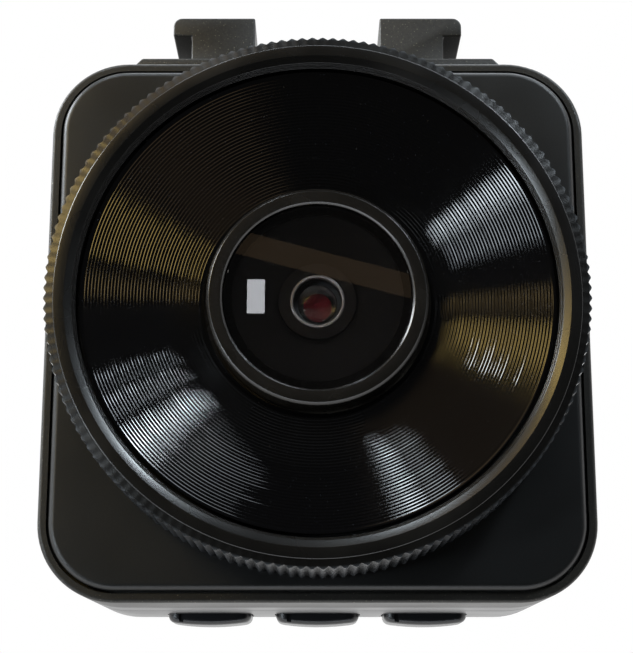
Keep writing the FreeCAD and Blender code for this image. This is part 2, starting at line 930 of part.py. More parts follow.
def makeMainBoard():
    board = slab(boardWidth, boardHeight, boardFront, boardBack)
    reach = casePostRadius + movingGap
    cutters = [rod(reach, boardFront, boardBack, x, z) for x, z in casePlaces()]
    # Corners outside the case posts are trimmed so that the board drops past them
    trimX = boardWidth / 2 + caseScrewX
    trimZ = boardHeight / 2 + caseScrewZ
    for x, z in casePlaces():
        cornerX = x + math.copysign(trimX / 2, x)
        cornerZ = z + math.copysign(trimZ / 2 - reach, z)
        cutters.append(slab(trimX, trimZ, boardFront, boardBack, cornerX, cornerZ))
    cutters += [rod(smallScrewRadius + looseGap, boardFront, boardBack, x, z) for x, z in boardPlaces()]
    speakerNotch = speakerLength / 2 + movingGap
    notchX = sideInner - speakerFoam - speakerThickness - movingGap
    cutters.append(block(notchX, boardWidth, boardFront, boardBack, -speakerNotch, speakerNotch))
    return without(board, cutters)


def makeBoardScrews():
    return Part.makeCompound([boardScrew(x, z) for x, z in boardPlaces()])


# Driven from the front, through the board into the rear shell's posts.
def boardScrew(x, z):
    head = rod(smallScrewHeadRadius, boardFront - smallScrewHeadHeight, boardFront, x, z)
    shank = rod(smallScrewRadius, boardFront, boardFront + boardScrewLength, x, z)
    top = boardFront - smallScrewHeadHeight
    return head.fuse(shank).cut(rod(driveRadius, top, top + driveDepth, x, z))


def makeShieldCan():
    front = boardFront - shieldDepth
    can = slab(shieldWidth, shieldHeight, front, boardFront, 0, shieldCentreZ)
    inside = slab(
        shieldWidth - 2 * shieldWall, shieldHeight - 2 * shieldWall,
        front + shieldWall, boardFront, 0, shieldCentreZ)
    return can.cut(inside)


def makeProcessor():
    x = -chipSpacing / 2
    return slab(processorSize, processorSize, boardFront - chipThickness, boardFront, x, shieldCentreZ)


def makeThermalPad():
    back = boardFront - chipThickness
    front = back - padThickness
    return slab(processorSize, processorSize, front, back, -chipSpacing / 2, shieldCentreZ)


def makeMemoryChip():
    x = chipSpacing / 2
    return slab(memorySize, memorySize, boardFront - chipThickness, boardFront, x, shieldCentreZ)


def makeClockCell():
    return rod(clockCellRadius, boardFront - clockCellThickness, boardFront, clockCellX, clockCellZ)


def makeBattery():
    back = boardFront - shieldDepth - tapeThickness
    radius = batteryCornerRadius
    return roundedSlab(batteryWidth, batteryHeight, radius, back - batteryDepth, back, 0, shieldCentreZ)


def makeBatteryTape():
    back = boardFront - shieldDepth
    return slab(tapeWidth, tapeHeight, back - tapeThickness, back, 0, shieldCentreZ)


def makeCardSocket():
    mouthX = -sideInner + slipGap
    channelEndX = -bodyWidth / 2 + cardSunk + cardLength + looseGap
    halfWidth = cardWidth / 2 + cardSocketSide
    socket = block(
        mouthX, channelEndX + cardSocketEnd,
        boardFront - cardSocketDepth, boardFront,
        cardCentreZ - halfWidth, cardCentreZ + halfWidth,
    )
    channelThickness = cardThickness + 2 * looseGap
    channelWidth = cardWidth + 2 * looseGap
    channel = block(
        mouthX, channelEndX,
        cardCentreY - channelThickness / 2, cardCentreY + channelThickness / 2,
        cardCentreZ - channelWidth / 2, cardCentreZ + channelWidth / 2,
    )
    return socket.cut(channel)


def makeMemoryCard():
    outerX = -bodyWidth / 2 + cardSunk
    card = block(
        outerX, outerX + cardLength,
        cardCentreY - cardThickness / 2, cardCentreY + cardThickness / 2,
        cardCentreZ - cardWidth / 2, cardCentreZ + cardWidth / 2,
    )
    # The inner end steps in on one side, as a small card does
    step = block(
        outerX + cardLength / 2, outerX + cardLength,
        cardCentreY - cardThickness, cardCentreY + cardThickness,
        cardCentreZ - cardWidth / 2, cardCentreZ - cardWidth / 2 + cardCornerCut,
    )
    return card.cut(step)


def makePowerSocket():
    mouthX = -sideInner + slipGap
    backX = mouthX + powerLength
    shell = block(
        mouthX, backX, boardFront - powerHeight, boardFront,
        powerCentreZ - powerWidth / 2, powerCentreZ + powerWidth / 2,
    )
    mouth = block(
        mouthX, backX - 2 * powerShell,
        boardFront - powerHeight + powerShell, boardFront - powerShell,
        powerCentreZ - powerWidth / 2 + powerShell, powerCentreZ + powerWidth / 2 - powerShell,
    )
    tongue = block(
        mouthX + powerTongueInset, backX - powerShell,
        powerCentreY - powerTongueThickness / 2, powerCentreY + powerTongueThickness / 2,
        powerCentreZ - powerWidth / 2 + powerTongueInset, powerCentreZ + powerWidth / 2 - powerTongueInset,
    )
    return joined([shell.cut(mouth), tongue])


def makeSpeaker():
    outerX = sideInner - speakerFoam
    body = block(
        outerX - speakerThickness, outerX, speakerFront, speakerFront + speakerDepth,
        -speakerLength / 2, speakerLength / 2,
    )
    return body.makeFillet(speakerRound, edgesAlong(body, vector(1, 0, 0)))


def makeSpeakerFoam():
    reachZ = soundSlotCount * soundSlotPitch / 2
    frame = block(
        sideInner - speakerFoam, sideInner, speakerFront + looseGap, rearEdgeStart(),
        -speakerLength / 2 + looseGap, speakerLength / 2 - looseGap,
    )
    openingFront = speakerFront + (speakerDepth - soundSlotLength) / 2
    openingBack = openingFront + soundSlotLength
    opening = block(
        sideInner - speakerFoam, sideInner, openingFront, openingBack,
        -reachZ, reachZ,
    )
    return frame.cut(opening)


# The depth where the rear shell's side walls start to curve in.
def rearEdgeStart():
    return bodyDepth - rearEdgeRadius


def makeMicrophone():
    return rod(microphoneRadius, rearInner - microphoneThickness, rearInner, microphoneX, rearHoleZ)


def makeLightPipe():
    stem = rod(lightRadius, boardBack + looseGap, bodyDepth, lightX, rearHoleZ)
    collarRadius = lightRadius + lightCollar
    collar = rod(collarRadius, rearInner - lightCollar, rearInner, lightX, rearHoleZ)
    return joined([stem, collar])


# One button: a crowned cap below the casing, a flange inside the wall and a stem up to its switch.
def makeButton(x):
    lowest = -bodyTop - buttonProud
    flangeBottom = -bodyTop + wall + slipGap
    cap = buttonColumn(x, 0, lowest, flangeBottom)
    crownRadius = (buttonWidth * buttonWidth / 4 + buttonCrown * buttonCrown) / (2 * buttonCrown)
    crown = Part.makeCylinder(
        crownRadius, buttonLength, vector(x, buttonFront, lowest + crownRadius), vector(0, 1, 0))
    upper = block(
        x - buttonWidth, x + buttonWidth, buttonFront, buttonFront + buttonLength,
        -bodyTop, flangeBottom,
    )
    cap = cap.common(joined([crown, upper]))
    markX = x - buttonWidth / 2 + markOffset
    mark = block(markX, markX + markWidth, buttonFront, buttonFront + markDepth, lowest, -bodyTop)
    flange = block(
        x - buttonWidth / 2 - buttonFlangeWidth, x + buttonWidth / 2 + buttonFlangeWidth,
        buttonFront, buttonFront + buttonLength + buttonFlangeWidth,
        flangeBottom, flangeTop,
    )
    stem = block(
        x - buttonStemSize / 2, x + buttonStemSize / 2,
        buttonCentreY - buttonStemSize / 2, buttonCentreY + buttonStemSize / 2,
        flangeTop, plungerBottom,
    )
    return joined([cap, flange, stem]).cut(mark)


def makePlunger(x):
    return upright(plungerRadius, plungerBottom, plungerBottom + plungerLength, x, buttonCentreY)


def makeButtonSwitches():
    boreTop = plungerBottom + plungerLength + buttonTravel + looseGap
    switches = []
    for x in buttonXs.values():
        body = block(
            x - switchWidth / 2, x + switchWidth / 2,
            boardFront - switchDepth, boardFront,
            switchBottom, switchBottom + switchHeight,
        )
        bore = upright(plungerRadius + looseGap, switchBottom, boreTop, x, buttonCentreY)
        switches.append(body.cut(bore))
    return Part.makeCompound(switches)


def makeDisplayModule():
    return slab(displayWidth, displayHeight, displayFront, displayBack)


def makeDisplayPlug():
    return slab(displayPlugWidth, displayPlugHeight, boardBack, displayFront, 0, displayPlugZ)


def makeDisplayGasket():
    width = viewWidth + 2 * displayGasketMargin
    height = viewHeight + 2 * displayGasketMargin
    outer = slab(width, height, displayBack, rearInner)
    return outer.cut(slab(viewWidth, viewHeight, displayBack, rearInner))


def makeDisplayWindow():
    front = bodyDepth - windowPocket
    width = windowWidth - 2 * looseGap
    height = windowHeight - 2 * looseGap
    return roundedSlab(width, height, windowCornerRadius - looseGap, front, front + windowThickness)


def makeMountShoe():
    pad = block(-padWidth / 2, padWidth / 2, padFront, padFront + padLength, bodyTop, padTop)
    topEnds = [
        edge for edge in edgesAlong(pad, vector(0, 1, 0))
        if edge.BoundBox.ZMin > padTop - padChamfer
    ]
    pad = pad.makeChamfer(padChamfer, topEnds)
    seat = block(
        -seatWidth / 2, seatWidth / 2,
        padCentreY - seatLength / 2, padCentreY + seatLength / 2,
        padTop, padTop + seatHeight,
    )
    shoe = joined([pad, seat, makeRail(-1), makeRail(1)])
    holes = [
        upright(caseScrewRadius + slipGap, bodyTop, bodyTop - wall + shoeScrewLength + looseGap, x, y)
        for x, y in shoeScrewPlaces()
    ]
    return without(shoe, holes)


# One rail: an upright web with a lip that reaches outwards, side -1 on the left and 1 on the right.
def makeRail(side):
    inner = railOuter / 2 - railWidth
    webOuter = railOuter / 2 - railLipReach
    top = padTop + railHeight
    lipBottom = top - railLipThickness
    web = block(inner, webOuter, railFront, railFront + railLength, padTop, top)
    lip = block(inner, railOuter / 2, railFront, railFront + railLength, lipBottom, top)
    rail = joined([web, lip])
    outerTop = [
        edge for edge in edgesAlong(rail, vector(0, 1, 0))
        if edge.BoundBox.ZMin > top - slipGap and edge.BoundBox.XMin > webOuter
    ]
    rail = rail.makeFillet(railCornerRadius, outerTop)
    return rail if side > 0 else rail.mirror(vector(0, 0, 0), vector(1, 0, 0))


# Two screws side by side into the back end of each rail.
def shoeScrewPlaces():
    railCentre = railOuter / 2 - (railWidth + railLipReach) / 2
    half = shoeScrewRailSpacing / 2
    y = railFront + railLength - shoeScrewRailInset
    return [(side * (railCentre + step), y) for side in (-1, 1) for step in (-half, half)]


# Driven upwards from inside the rear shell.
def makeShoeScrews():
    seatZ = bodyTop - wall
    screws = []
    for x, y in shoeScrewPlaces():
        head = upright(shoeScrewHeadRadius, seatZ - caseScrewHeadHeight, seatZ, x, y)
        shank = upright(caseScrewRadius, seatZ, seatZ + shoeScrewLength, x, y)
        bottom = seatZ - caseScrewHeadHeight
        screws.append(head.fuse(shank).cut(upright(driveRadius, bottom, bottom + driveDepth, x, y)))
    return Part.makeCompound(screws)


def makeCaseScrews():
    length = caseScrewSeat - caseScrewTip
    return Part.makeCompound([
        screwFromBack(
            caseScrewRadius, caseScrewHeadRadius, caseScrewHeadHeight, length, caseScrewSeat, x, z)
        for x, z in casePlaces()
    ])


# Moves one piece to the common origin and writes it under its node's name.
def writeNode(name, shape):
    moved = shape.copy()
    moved.translate(origin.negative())
    if not moved.isValid():
        raise ValueError(name + " is not a valid solid")
    moved.exportStep(os.path.join("parts", name + ".step"))


makers = {
    "front_frame": makeFrontFrame,
    "front_panel": makeFrontPanel,
    "panel_adhesive": makePanelAdhesive,
    "middle_band": makeMiddleBand,
    "rear_shell": makeRearShell,
    "case_screws": makeCaseScrews,
    "mount_shoe": makeMountShoe,
    "shoe_screws": makeShoeScrews,
    "grip_ring": makeGripRing,
    "ring_clip": makeRingClip,
    "lens_housing": makeLensHousing,
    "housing_screws": makeHousingScrews,
    "grooved_dish": makeGroovedDish,
    "hub_ring": makeHubRing,
    "cover_glass": makeCoverGlass,
    "glass_gasket": makeGlassGasket,
    "lens_baffle": makeLensBaffle,
    "lens_barrel": makeLensBarrel,
    "lens_trim_ring": makeLensTrimRing,
    "front_element": makeFrontElement,
    "lens_spacer": makeLensSpacer,
    "aperture_stop": makeApertureStop,
    "middle_element": makeMiddleElement,
    "rear_element": makeRearElement,
    "lens_holder": makeLensHolder,
    "infrared_filter": makeInfraredFilter,
    "image_sensor": makeImageSensor,
    "sensor_board": makeSensorBoard,
    "sensor_screws": makeSensorScrews,
    "sensor_plug": makeSensorPlug,
    "sensor_flex": makeSensorFlex,
    "board_plug": makeBoardPlug,
    "main_board": makeMainBoard,
    "board_screws": makeBoardScrews,
    "shield_can": makeShieldCan,
    "processor": makeProcessor,
    "thermal_pad": makeThermalPad,
    "memory_chip": makeMemoryChip,
    "clock_cell": makeClockCell,
    "battery": makeBattery,
    "battery_tape": makeBatteryTape,
    "card_socket": makeCardSocket,
    "memory_card": makeMemoryCard,
    "power_socket": makePowerSocket,
    "speaker": makeSpeaker,
    "speaker_foam": makeSpeakerFoam,
    "microphone": makeMicrophone,
    "light_pipe": makeLightPipe,
    "button_switches": makeButtonSwitches,
    "display_module": makeDisplayModule,
    "display_plug": makeDisplayPlug,
    "display_gasket": makeDisplayGasket,
    "display_window": makeDisplayWindow,
}

os.makedirs("parts", exist_ok=True)
for name, make in makers.items():
    writeNode(name, make())
for place, buttonX in buttonXs.items():
    writeNode("button_" + place, makeButton(buttonX))
    writeNode("plunger_" + place, makePlunger(buttonX))
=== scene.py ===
import json
import math
import random

import bmesh
import bpy
from mathutils import Matrix, Vector


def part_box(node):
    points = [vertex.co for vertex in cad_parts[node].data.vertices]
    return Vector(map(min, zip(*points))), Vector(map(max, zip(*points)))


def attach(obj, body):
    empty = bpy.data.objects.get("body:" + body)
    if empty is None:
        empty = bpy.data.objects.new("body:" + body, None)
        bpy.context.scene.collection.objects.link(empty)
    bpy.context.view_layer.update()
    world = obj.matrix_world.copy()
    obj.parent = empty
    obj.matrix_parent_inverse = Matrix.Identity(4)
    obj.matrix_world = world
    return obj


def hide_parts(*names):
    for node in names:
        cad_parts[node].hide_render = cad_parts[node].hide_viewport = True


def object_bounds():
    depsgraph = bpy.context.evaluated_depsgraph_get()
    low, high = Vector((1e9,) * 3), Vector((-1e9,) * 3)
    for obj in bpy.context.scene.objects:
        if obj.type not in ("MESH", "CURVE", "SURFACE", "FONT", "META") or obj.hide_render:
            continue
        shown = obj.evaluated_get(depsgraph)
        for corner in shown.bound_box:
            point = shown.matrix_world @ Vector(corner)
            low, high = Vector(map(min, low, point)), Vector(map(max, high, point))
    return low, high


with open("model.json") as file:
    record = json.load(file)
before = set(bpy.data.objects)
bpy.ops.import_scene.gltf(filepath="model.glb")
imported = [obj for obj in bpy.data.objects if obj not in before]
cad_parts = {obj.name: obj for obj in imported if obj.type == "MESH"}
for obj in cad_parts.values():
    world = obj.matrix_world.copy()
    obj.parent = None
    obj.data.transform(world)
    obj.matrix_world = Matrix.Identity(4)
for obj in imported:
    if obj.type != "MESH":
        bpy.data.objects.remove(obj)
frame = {"nodes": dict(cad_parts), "record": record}
cadLow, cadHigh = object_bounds()
nodes = frame["nodes"]
mm = 0.001
print("frame loaded,", len(nodes), "nodes")


# Places read from the frame. The lens axis runs along Y through the middle of the trim ring.

def frontOf(node):
    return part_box(node)[0].y


def backOf(node):
    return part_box(node)[1].y


def radiusOf(node):
    low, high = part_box(node)
    return (high.z - low.z) / 2


trimLow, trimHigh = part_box("lens_trim_ring")
lensX = (trimLow.x + trimHigh.x) / 2
lensZ = (trimLow.z + trimHigh.z) / 2
rimFront = frontOf("front_frame")


# Camera: below the lens axis and looking up at the face

cameraSettings = {
    "distance": 175 * mm,       # along the view to the plane of the front rim
    "below": math.radians(13.5),
    "aimLeft": 0.11 * mm,
    "aimDown": 0.5 * mm,
    "lens": 87.7,
    "sensor": 36.0,
}


def addCamera(place):
    aim = Vector((lensX - place["aimLeft"], rimFront, lensZ - place["aimDown"]))
    back = Vector((0, -math.cos(place["below"]), -math.sin(place["below"])))
    data = bpy.data.cameras.new("camera")
    data.lens = place["lens"]
    data.sensor_width = place["sensor"]
    data.clip_start = 1 * mm
    camera = bpy.data.objects.new("camera", data)
    camera.location = aim + back * place["distance"]
    camera.rotation_euler = (-back).to_track_quat("-Z", "Y").to_euler()
    bpy.context.scene.collection.objects.link(camera)
    bpy.context.scene.camera = camera


addCamera(cameraSettings)
print("camera placed")


# Colours and nodes

def toLinear(hexColour):
    channels = [int(hexColour[place:place + 2], 16) / 255 for place in (1, 3, 5)]
    curve = [c / 12.92 if c <= 0.04045 else ((c + 0.055) / 1.055) ** 2.4 for c in channels]
    return (*curve, 1.0)


# Adds a node; settings are attributes or input values, links are input names and the sockets that feed them
def addNode(tree, kind, settings=None, links=None):
    node = tree.nodes.new(kind)
    for key, value in (settings or {}).items():
        if isinstance(key, str) and hasattr(node, key):
            setattr(node, key, value)
        else:
            node.inputs[key].default_value = value
    for key, socket in (links or {}).items():
        tree.links.new(socket, node.inputs[key])
    return node


def newFinish(name, settings):
    material = bpy.data.materials.new(name)
    material.use_nodes = True
    tree = material.node_tree
    shader = tree.nodes["Principled BSDF"]
    for key, value in settings.items():
        shader.inputs[key].default_value = value
    where = addNode(tree, "ShaderNodeTexCoord").outputs["Object"]
    return material, tree, shader, where


# Two close tones over noise whose blobs are about as wide as the size given in metres. Also gives the noise.
def addTones(tree, where, size, detail, dark, light):
    settings = {"Scale": 0.5 / size, "Detail": detail}
    noise = addNode(tree, "ShaderNodeTexNoise", settings, {"Vector": where}).outputs["Fac"]
    ramp = addNode(tree, "ShaderNodeValToRGB", links={"Fac": noise})
    low, high = ramp.color_ramp.elements
    low.position, high.position = 0.35, 0.65
    low.color, high.color = toLinear(dark), toLinear(light)
    return ramp.outputs["Color"], noise


# A value that runs between two limits as such noise runs over a stretch of its own values
def addPatches(tree, where, size, detail, stretch, limits):
    settings = {"Scale": 0.5 / size, "Detail": detail}
    noise = addNode(tree, "ShaderNodeTexNoise", settings, {"Vector": where}).outputs["Fac"]
    settings = {"From Min": stretch[0], "From Max": stretch[1], "To Min": limits[0], "To Max": limits[1]}
    return addNode(tree, "ShaderNodeMapRange", settings, {"Value": noise}).outputs["Result"]


# A gloss that wanders a little about its middle value, and the grain in relief
def addSurface(tree, shader, where, grain, look):
    middle, swing = look["rough"], look["roughSwing"]
    gloss = addPatches(tree, where, look["patch"], 2.0, (0.3, 0.7), (middle - swing, middle + swing))
    tree.links.new(gloss, shader.inputs["Roughness"])
    relief = addNode(tree, "ShaderNodeBump", {"Strength": 1.0, "Distance": look["relief"]}, {"Height": grain})
    tree.links.new(relief.outputs["Normal"], shader.inputs["Normal"])


# Plastic moulded against a grained or satin steel face: two close tones, the grain in relief, pale specks
# where the skin is scuffed, and a gloss that wanders a little over larger patches
def mouldedPlastic(name, look):
    material, tree, shader, where = newFinish(name, {"IOR": look["ior"]})
    tones, grain = addTones(tree, where, look["grain"], 3.0, look["dark"], look["light"])
    stretch = (look["speckFrom"], look["speckFrom"] + 0.06)
    specks = addPatches(tree, where, look["speckSize"], 0.0, stretch, (0, 1))
    speck = {"data_type": "RGBA", "B": toLinear(look["speck"])}
    scuffed = addNode(tree, "ShaderNodeMix", speck, {"A": tones, "Factor": specks})
    tree.links.new(scuffed.outputs["Result"], shader.inputs["Base Color"])
    addSurface(tree, shader, where, grain, look)
    return material


print("material helpers ready")


# Mesh helpers. An outline is a closed list of corners (across, along, rounding radius).

rounding = {
    "straight": math.radians(179),   # a corner flatter than this is left as it is
    "sideShare": 0.45,               # how much of a side one rounding may use
}


def softened(corners, steps=4):
    points = []
    for index, (across, along, radius) in enumerate(corners):
        here = Vector((across, along))
        before = Vector(corners[index - 1][:2]) - here
        after = Vector(corners[(index + 1) % len(corners)][:2]) - here
        turn = before.angle(after)
        if radius <= 0 or turn > rounding["straight"]:
            points.append(here)
            continue
        most = rounding["sideShare"] * min(before.length, after.length)
        reach = min(radius / math.tan(turn / 2), most)
        start, end = before.normalized() * reach, after.normalized() * reach
        inward = (before.normalized() + after.normalized()).normalized()
        centre = inward * (reach / math.cos(turn / 2))
        sweep = math.pi - turn
        for step in range(steps + 1):
            share = step / steps
            first = math.sin((1 - share) * sweep) / math.sin(sweep)
            second = math.sin(share * sweep) / math.sin(sweep)
            points.append(here + centre + (start - centre) * first + (end - centre) * second)
    return points


def skin(bm, loops, closed=True):
    rings = [[bm.verts.new(point) for point in loop] for loop in loops]
    following = rings[1:] + rings[:1] if closed else rings[1:]
    for ring, after in zip(rings, following):
        for index in range(len(ring)):
            other = (index + 1) % len(ring)
            bm.faces.new((ring[index], ring[other], after[other], after[index]))
    return rings


def fan(bm, ring, centre):
    hub = bm.verts.new(centre)
    for index in range(len(ring)):
        bm.faces.new((ring[index], ring[(index + 1) % len(ring)], hub))


def aroundLens(radius, along, angle):
    return Vector((lensX + radius * math.cos(angle), along, lensZ + radius * math.sin(angle)))


def turnedLoop(radius, along, steps):
    return [aroundLens(radius, along, 2 * math.pi * index / steps) for index in range(steps)]


# A ring-shaped solid: a closed outline of (radius, along) points turned about the lens axis
def turnedRing(points, steps):
    bm = bmesh.new()
    skin(bm, [turnedLoop(radius, along, steps) for radius, along in points])
    return bm


# A solid without a hole: an open outline from the lens axis out and back to it
def turnedDisc(points, steps):
    bm = bmesh.new()
    rings = skin(bm, [turnedLoop(radius, along, steps) for radius, along in points[1:-1]], closed=False)
    fan(bm, rings[0], (lensX, points[0][1], lensZ))
    fan(bm, rings[-1], (lensX, points[-1][1], lensZ))
    return bm


def addPiece(name, bm, material, body, replaced, sharp=30):
    bmesh.ops.recalc_face_normals(bm, faces=bm.faces[:])
    mesh = bpy.data.meshes.new(name)
    bm.to_mesh(mesh)
    bm.free()
    mesh.materials.append(material)
    mesh.shade_smooth()
    mesh.set_sharp_from_angle(angle=math.radians(sharp))
    piece = bpy.data.objects.new(name, mesh)
    bpy.context.scene.collection.objects.link(piece)
    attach(piece, body)
    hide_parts(*replaced)
    print(name, len(mesh.polygons), "faces")
    return piece


# Grooved dish: a shallow cone of gloss black polycarbonate. The mould face was turned with a round-nosed
# tool, so every groove is a smooth wave that throws each lamp into a fan of thin bright lines.

dish = {
    "pitch": 0.33 * mm,
    "depth": 0.06 * mm,
    "unevenness": 0.12,     # how much neighbouring grooves differ in depth
    "margin": 0.25 * mm,
    "thickness": 0.95 * mm,
    "skirt": 0.8 * mm,
    "skirtIn": 1.6 * mm,
    "bore": 11.9 * mm,
    "wavePoints": 10,
    "steps": 384,
    "colour": "#040405",
    "dust": "#4a4c52",
    "rough": 0.07,
    "ior": 1.58,            # polycarbonate
    "dustSize": 0.06 * mm,     # real dust is finer, and this is as small as shows
    "dustStretch": (0.84, 0.88),
    "seed": 5,
    "sharp": 60,
}


def glossPolycarbonate(look):
    settings = {"IOR": look["ior"], "Roughness": look["rough"]}
    material, tree, shader, where = newFinish("gloss black polycarbonate", settings)
    dust = addPatches(tree, where, look["dustSize"], 0.0, look["dustStretch"], (0, 1))
    colours = {"data_type": "RGBA", "A": toLinear(look["colour"]), "B": toLinear(look["dust"])}
    colour = addNode(tree, "ShaderNodeMix", colours, {"Factor": dust})
    tree.links.new(colour.outputs["Result"], shader.inputs["Base Color"])
    return material


def makeDish(shape):
    outer, bore = radiusOf("grooved_dish"), shape["bore"]
    front = frontOf("grooved_dish")
    inner = backOf("grooved_dish") - shape["thickness"]
    back = frontOf("lens_housing")
    slope = (inner - front) / (outer - bore)
    dice = random.Random(shape["seed"])
    count = int((outer - bore - 2 * shape["margin"]) / shape["pitch"])
    points = [
        Vector((bore, backOf("grooved_dish"))),
        Vector((outer - shape["skirtIn"], back + shape["skirt"])),
        Vector((outer - shape["skirtIn"], back)),
        Vector((outer, back)),
        Vector((outer, front)),
    ]
    for groove in range(count):
        depth = shape["depth"] * (1 - shape["unevenness"] * dice.random())
        lip = outer - shape["margin"] - groove * shape["pitch"]
        for step in range(shape["wavePoints"]):
            share = step / shape["wavePoints"]
            radius = lip - share * shape["pitch"]
            dip = depth * (1 - math.cos(2 * math.pi * share)) / 2
            points.append(Vector((radius, front + slope * (outer - radius) + dip)))
    last = outer - shape["margin"] - count * shape["pitch"]
    points.append(Vector((last, front + slope * (outer - last))))
    points.append(Vector((bore, inner)))
    bm = turnedRing(points, shape["steps"])
    finish = glossPolycarbonate(shape)
    addPiece("groovedDish", bm, finish, "camera", ["grooved_dish"], shape["sharp"])


makeDish(dish)


# Grip ring: black anodised aluminium, turned, then knurled by straight rolls. The dyed oxide is glassy, so
# it has a satin gloss with blue-grey highlights, and the knurl band is painted a paler blue-grey as a painted
# highlight.

gripRing = {
    "teeth": 160,
    "perTooth": 6,
    "toothDepth": 0.3 * mm,
    "knurlEnd": 0.35 * mm,      # from the front face back to the end of the knurl
    "chamfer": 1.0 * mm,
    "face": 1.15 * mm,
    "bevel": 0.75 * mm,
    "bevelDepth": 0.35 * mm,
    "threads": 3,
    "threadIn": 0.15 * mm,
    "threadDown": 0.35 * mm,
    "bore": 24.65 * mm,
    "throatGap": 0.1 * mm,      # from the housing's front edge to the narrow part of the bore
    "clipRadius": 25.2 * mm,
    "clipPlay": 0.1 * mm,
    "faceRound": 0.12 * mm,
    "lipRound": 0.08 * mm,
    "bevelRound": 0.06 * mm,
    "threadRound": 0.04 * mm,
    "boreRound": 0.2 * mm,
    "backMargin": 0.3 * mm,     # from the tooth roots in to the flat back face
    "backBevel": 0.25 * mm,
    "sharp": 25,
    "dark": "#080807",
    "light": "#0e0d0c",
    "worn": "#2a2927",
    "paintedHighlight": "#42464b",          # painted highlight: the whole knurl band is painted this paler blue-grey
    "highlightFrom": 27.75 * mm,
    "highlightTo": 28.1 * mm,
    "rough": 0.27,
    "roughSwing": 0.03,
    "relief": 0.004 * mm,
    "ior": 1.65,                # aluminium oxide as grown, which is less dense than sapphire
    "grain": 0.08 * mm,
    "patch": 4 * mm,
}


# The dye takes a little unevenly, and where handling has thinned the oxide the tone is paler
def anodisedAluminium(name, look):
    material, tree, shader, where = newFinish(name, {"IOR": look["ior"]})
    tones, grain = addTones(tree, where, look["grain"], 2.0, look["dark"], look["light"])
    thin = addPatches(tree, where, look["patch"], 6.0, (0.55, 0.75), (0, 0.25))
    paler = {"data_type": "RGBA", "B": toLinear(look["worn"])}
    worn = addNode(tree, "ShaderNodeMix", paler, {"A": tones, "Factor": thin})
    # Painted highlight: a band of radii about the lens axis is painted a paler colour, so it looks lit
    # whatever the lamps
    lensPlace = {"operation": "SUBTRACT", 1: (lensX, 0, lensZ)}
    fromLens = addNode(tree, "ShaderNodeVectorMath", lensPlace, {0: where}).outputs["Vector"]
    flatten = {"operation": "MULTIPLY", 1: (1, 0, 1)}
    across = addNode(tree, "ShaderNodeVectorMath", flatten, {0: fromLens}).outputs["Vector"]
    radius = addNode(tree, "ShaderNodeVectorMath", {"operation": "LENGTH"}, {0: across}).outputs["Value"]
    limits = {"From Min": look["highlightFrom"], "From Max": look["highlightTo"]}
    paintedHighlight = addNode(tree, "ShaderNodeMapRange", limits, {"Value": radius}).outputs["Result"]
    highlightColour = {"data_type": "RGBA", "B": toLinear(look["paintedHighlight"])}
    highlighted = addNode(tree, "ShaderNodeMix", highlightColour, {"A": worn.outputs["Result"], "Factor": paintedHighlight})
    tree.links.new(highlighted.outputs["Result"], shader.inputs["Base Color"])
    addSurface(tree, shader, where, grain, look)
    return material


# Heights along one tooth of the knurl, from root (0) over the crest (1) and back
toothShape = [0.0, 0.3, 0.75, 1.0, 0.75, 0.3]


def makeGripRing(shape):
    tip = radiusOf("grip_ring")
    root = tip - shape["toothDepth"]
    front, back = frontOf("grip_ring"), backOf("grip_ring")
    faceOuter = tip - shape["chamfer"]
    lip = faceOuter - shape["face"]
    knurlFront = front + shape["knurlEnd"]
    steps = shape["teeth"] * shape["perTooth"]
    slope = shape["knurlEnd"] / shape["chamfer"]

    def toothLoop(along, inset, cone):
        loop = []
        for index in range(steps):
            radius = root + shape["toothDepth"] * toothShape[index % shape["perTooth"]]
            fit = along - cone * (tip - radius)
            loop.append(aroundLens(radius - inset, fit, 2 * math.pi * index / steps))
        return loop

    corners = [
        (faceOuter, front, shape["faceRound"]),
        (lip, front, shape["lipRound"]),
        (lip - shape["bevel"], front + shape["bevelDepth"], shape["bevelRound"]),
    ]
    radius, along = lip - shape["bevel"], front + shape["bevelDepth"]
    for thread in range(1, shape["threads"]):
        along += shape["threadDown"]
        corners.append((radius, along, shape["threadRound"]))
        radius -= shape["threadIn"]
        corners.append((radius, along, shape["threadRound"]))
    clipLow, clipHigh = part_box("ring_clip")
    throat = frontOf("lens_housing") - shape["throatGap"]
    corners += [
        (radius, throat, 0),
        (shape["bore"], throat, 0),
        (shape["bore"], clipLow.y - shape["clipPlay"], 0),
        (shape["clipRadius"], clipLow.y - shape["clipPlay"], 0),
        (shape["clipRadius"], clipHigh.y + shape["clipPlay"], 0),
        (shape["bore"], clipHigh.y + shape["clipPlay"], 0),
        (shape["bore"], back, shape["boreRound"]),
        (root - shape["backMargin"], back, 0),
    ]
    loops = [turnedLoop(point.x, point.y, steps) for point in softened(corners, 4)]
    loops.append(toothLoop(back, shape["backBevel"], 0))
    loops.append(toothLoop(back - shape["backBevel"], 0, 0))
    loops.append(toothLoop(knurlFront, 0, slope))
    bm = bmesh.new()
    skin(bm, loops)
    finish = anodisedAluminium("black anodised aluminium", shape)
    addPiece("gripRing", bm, finish, "ring", ["grip_ring"], shape["sharp"])


makeGripRing(gripRing)


# Hub ring: the same anodised aluminium with a finer, browner satin

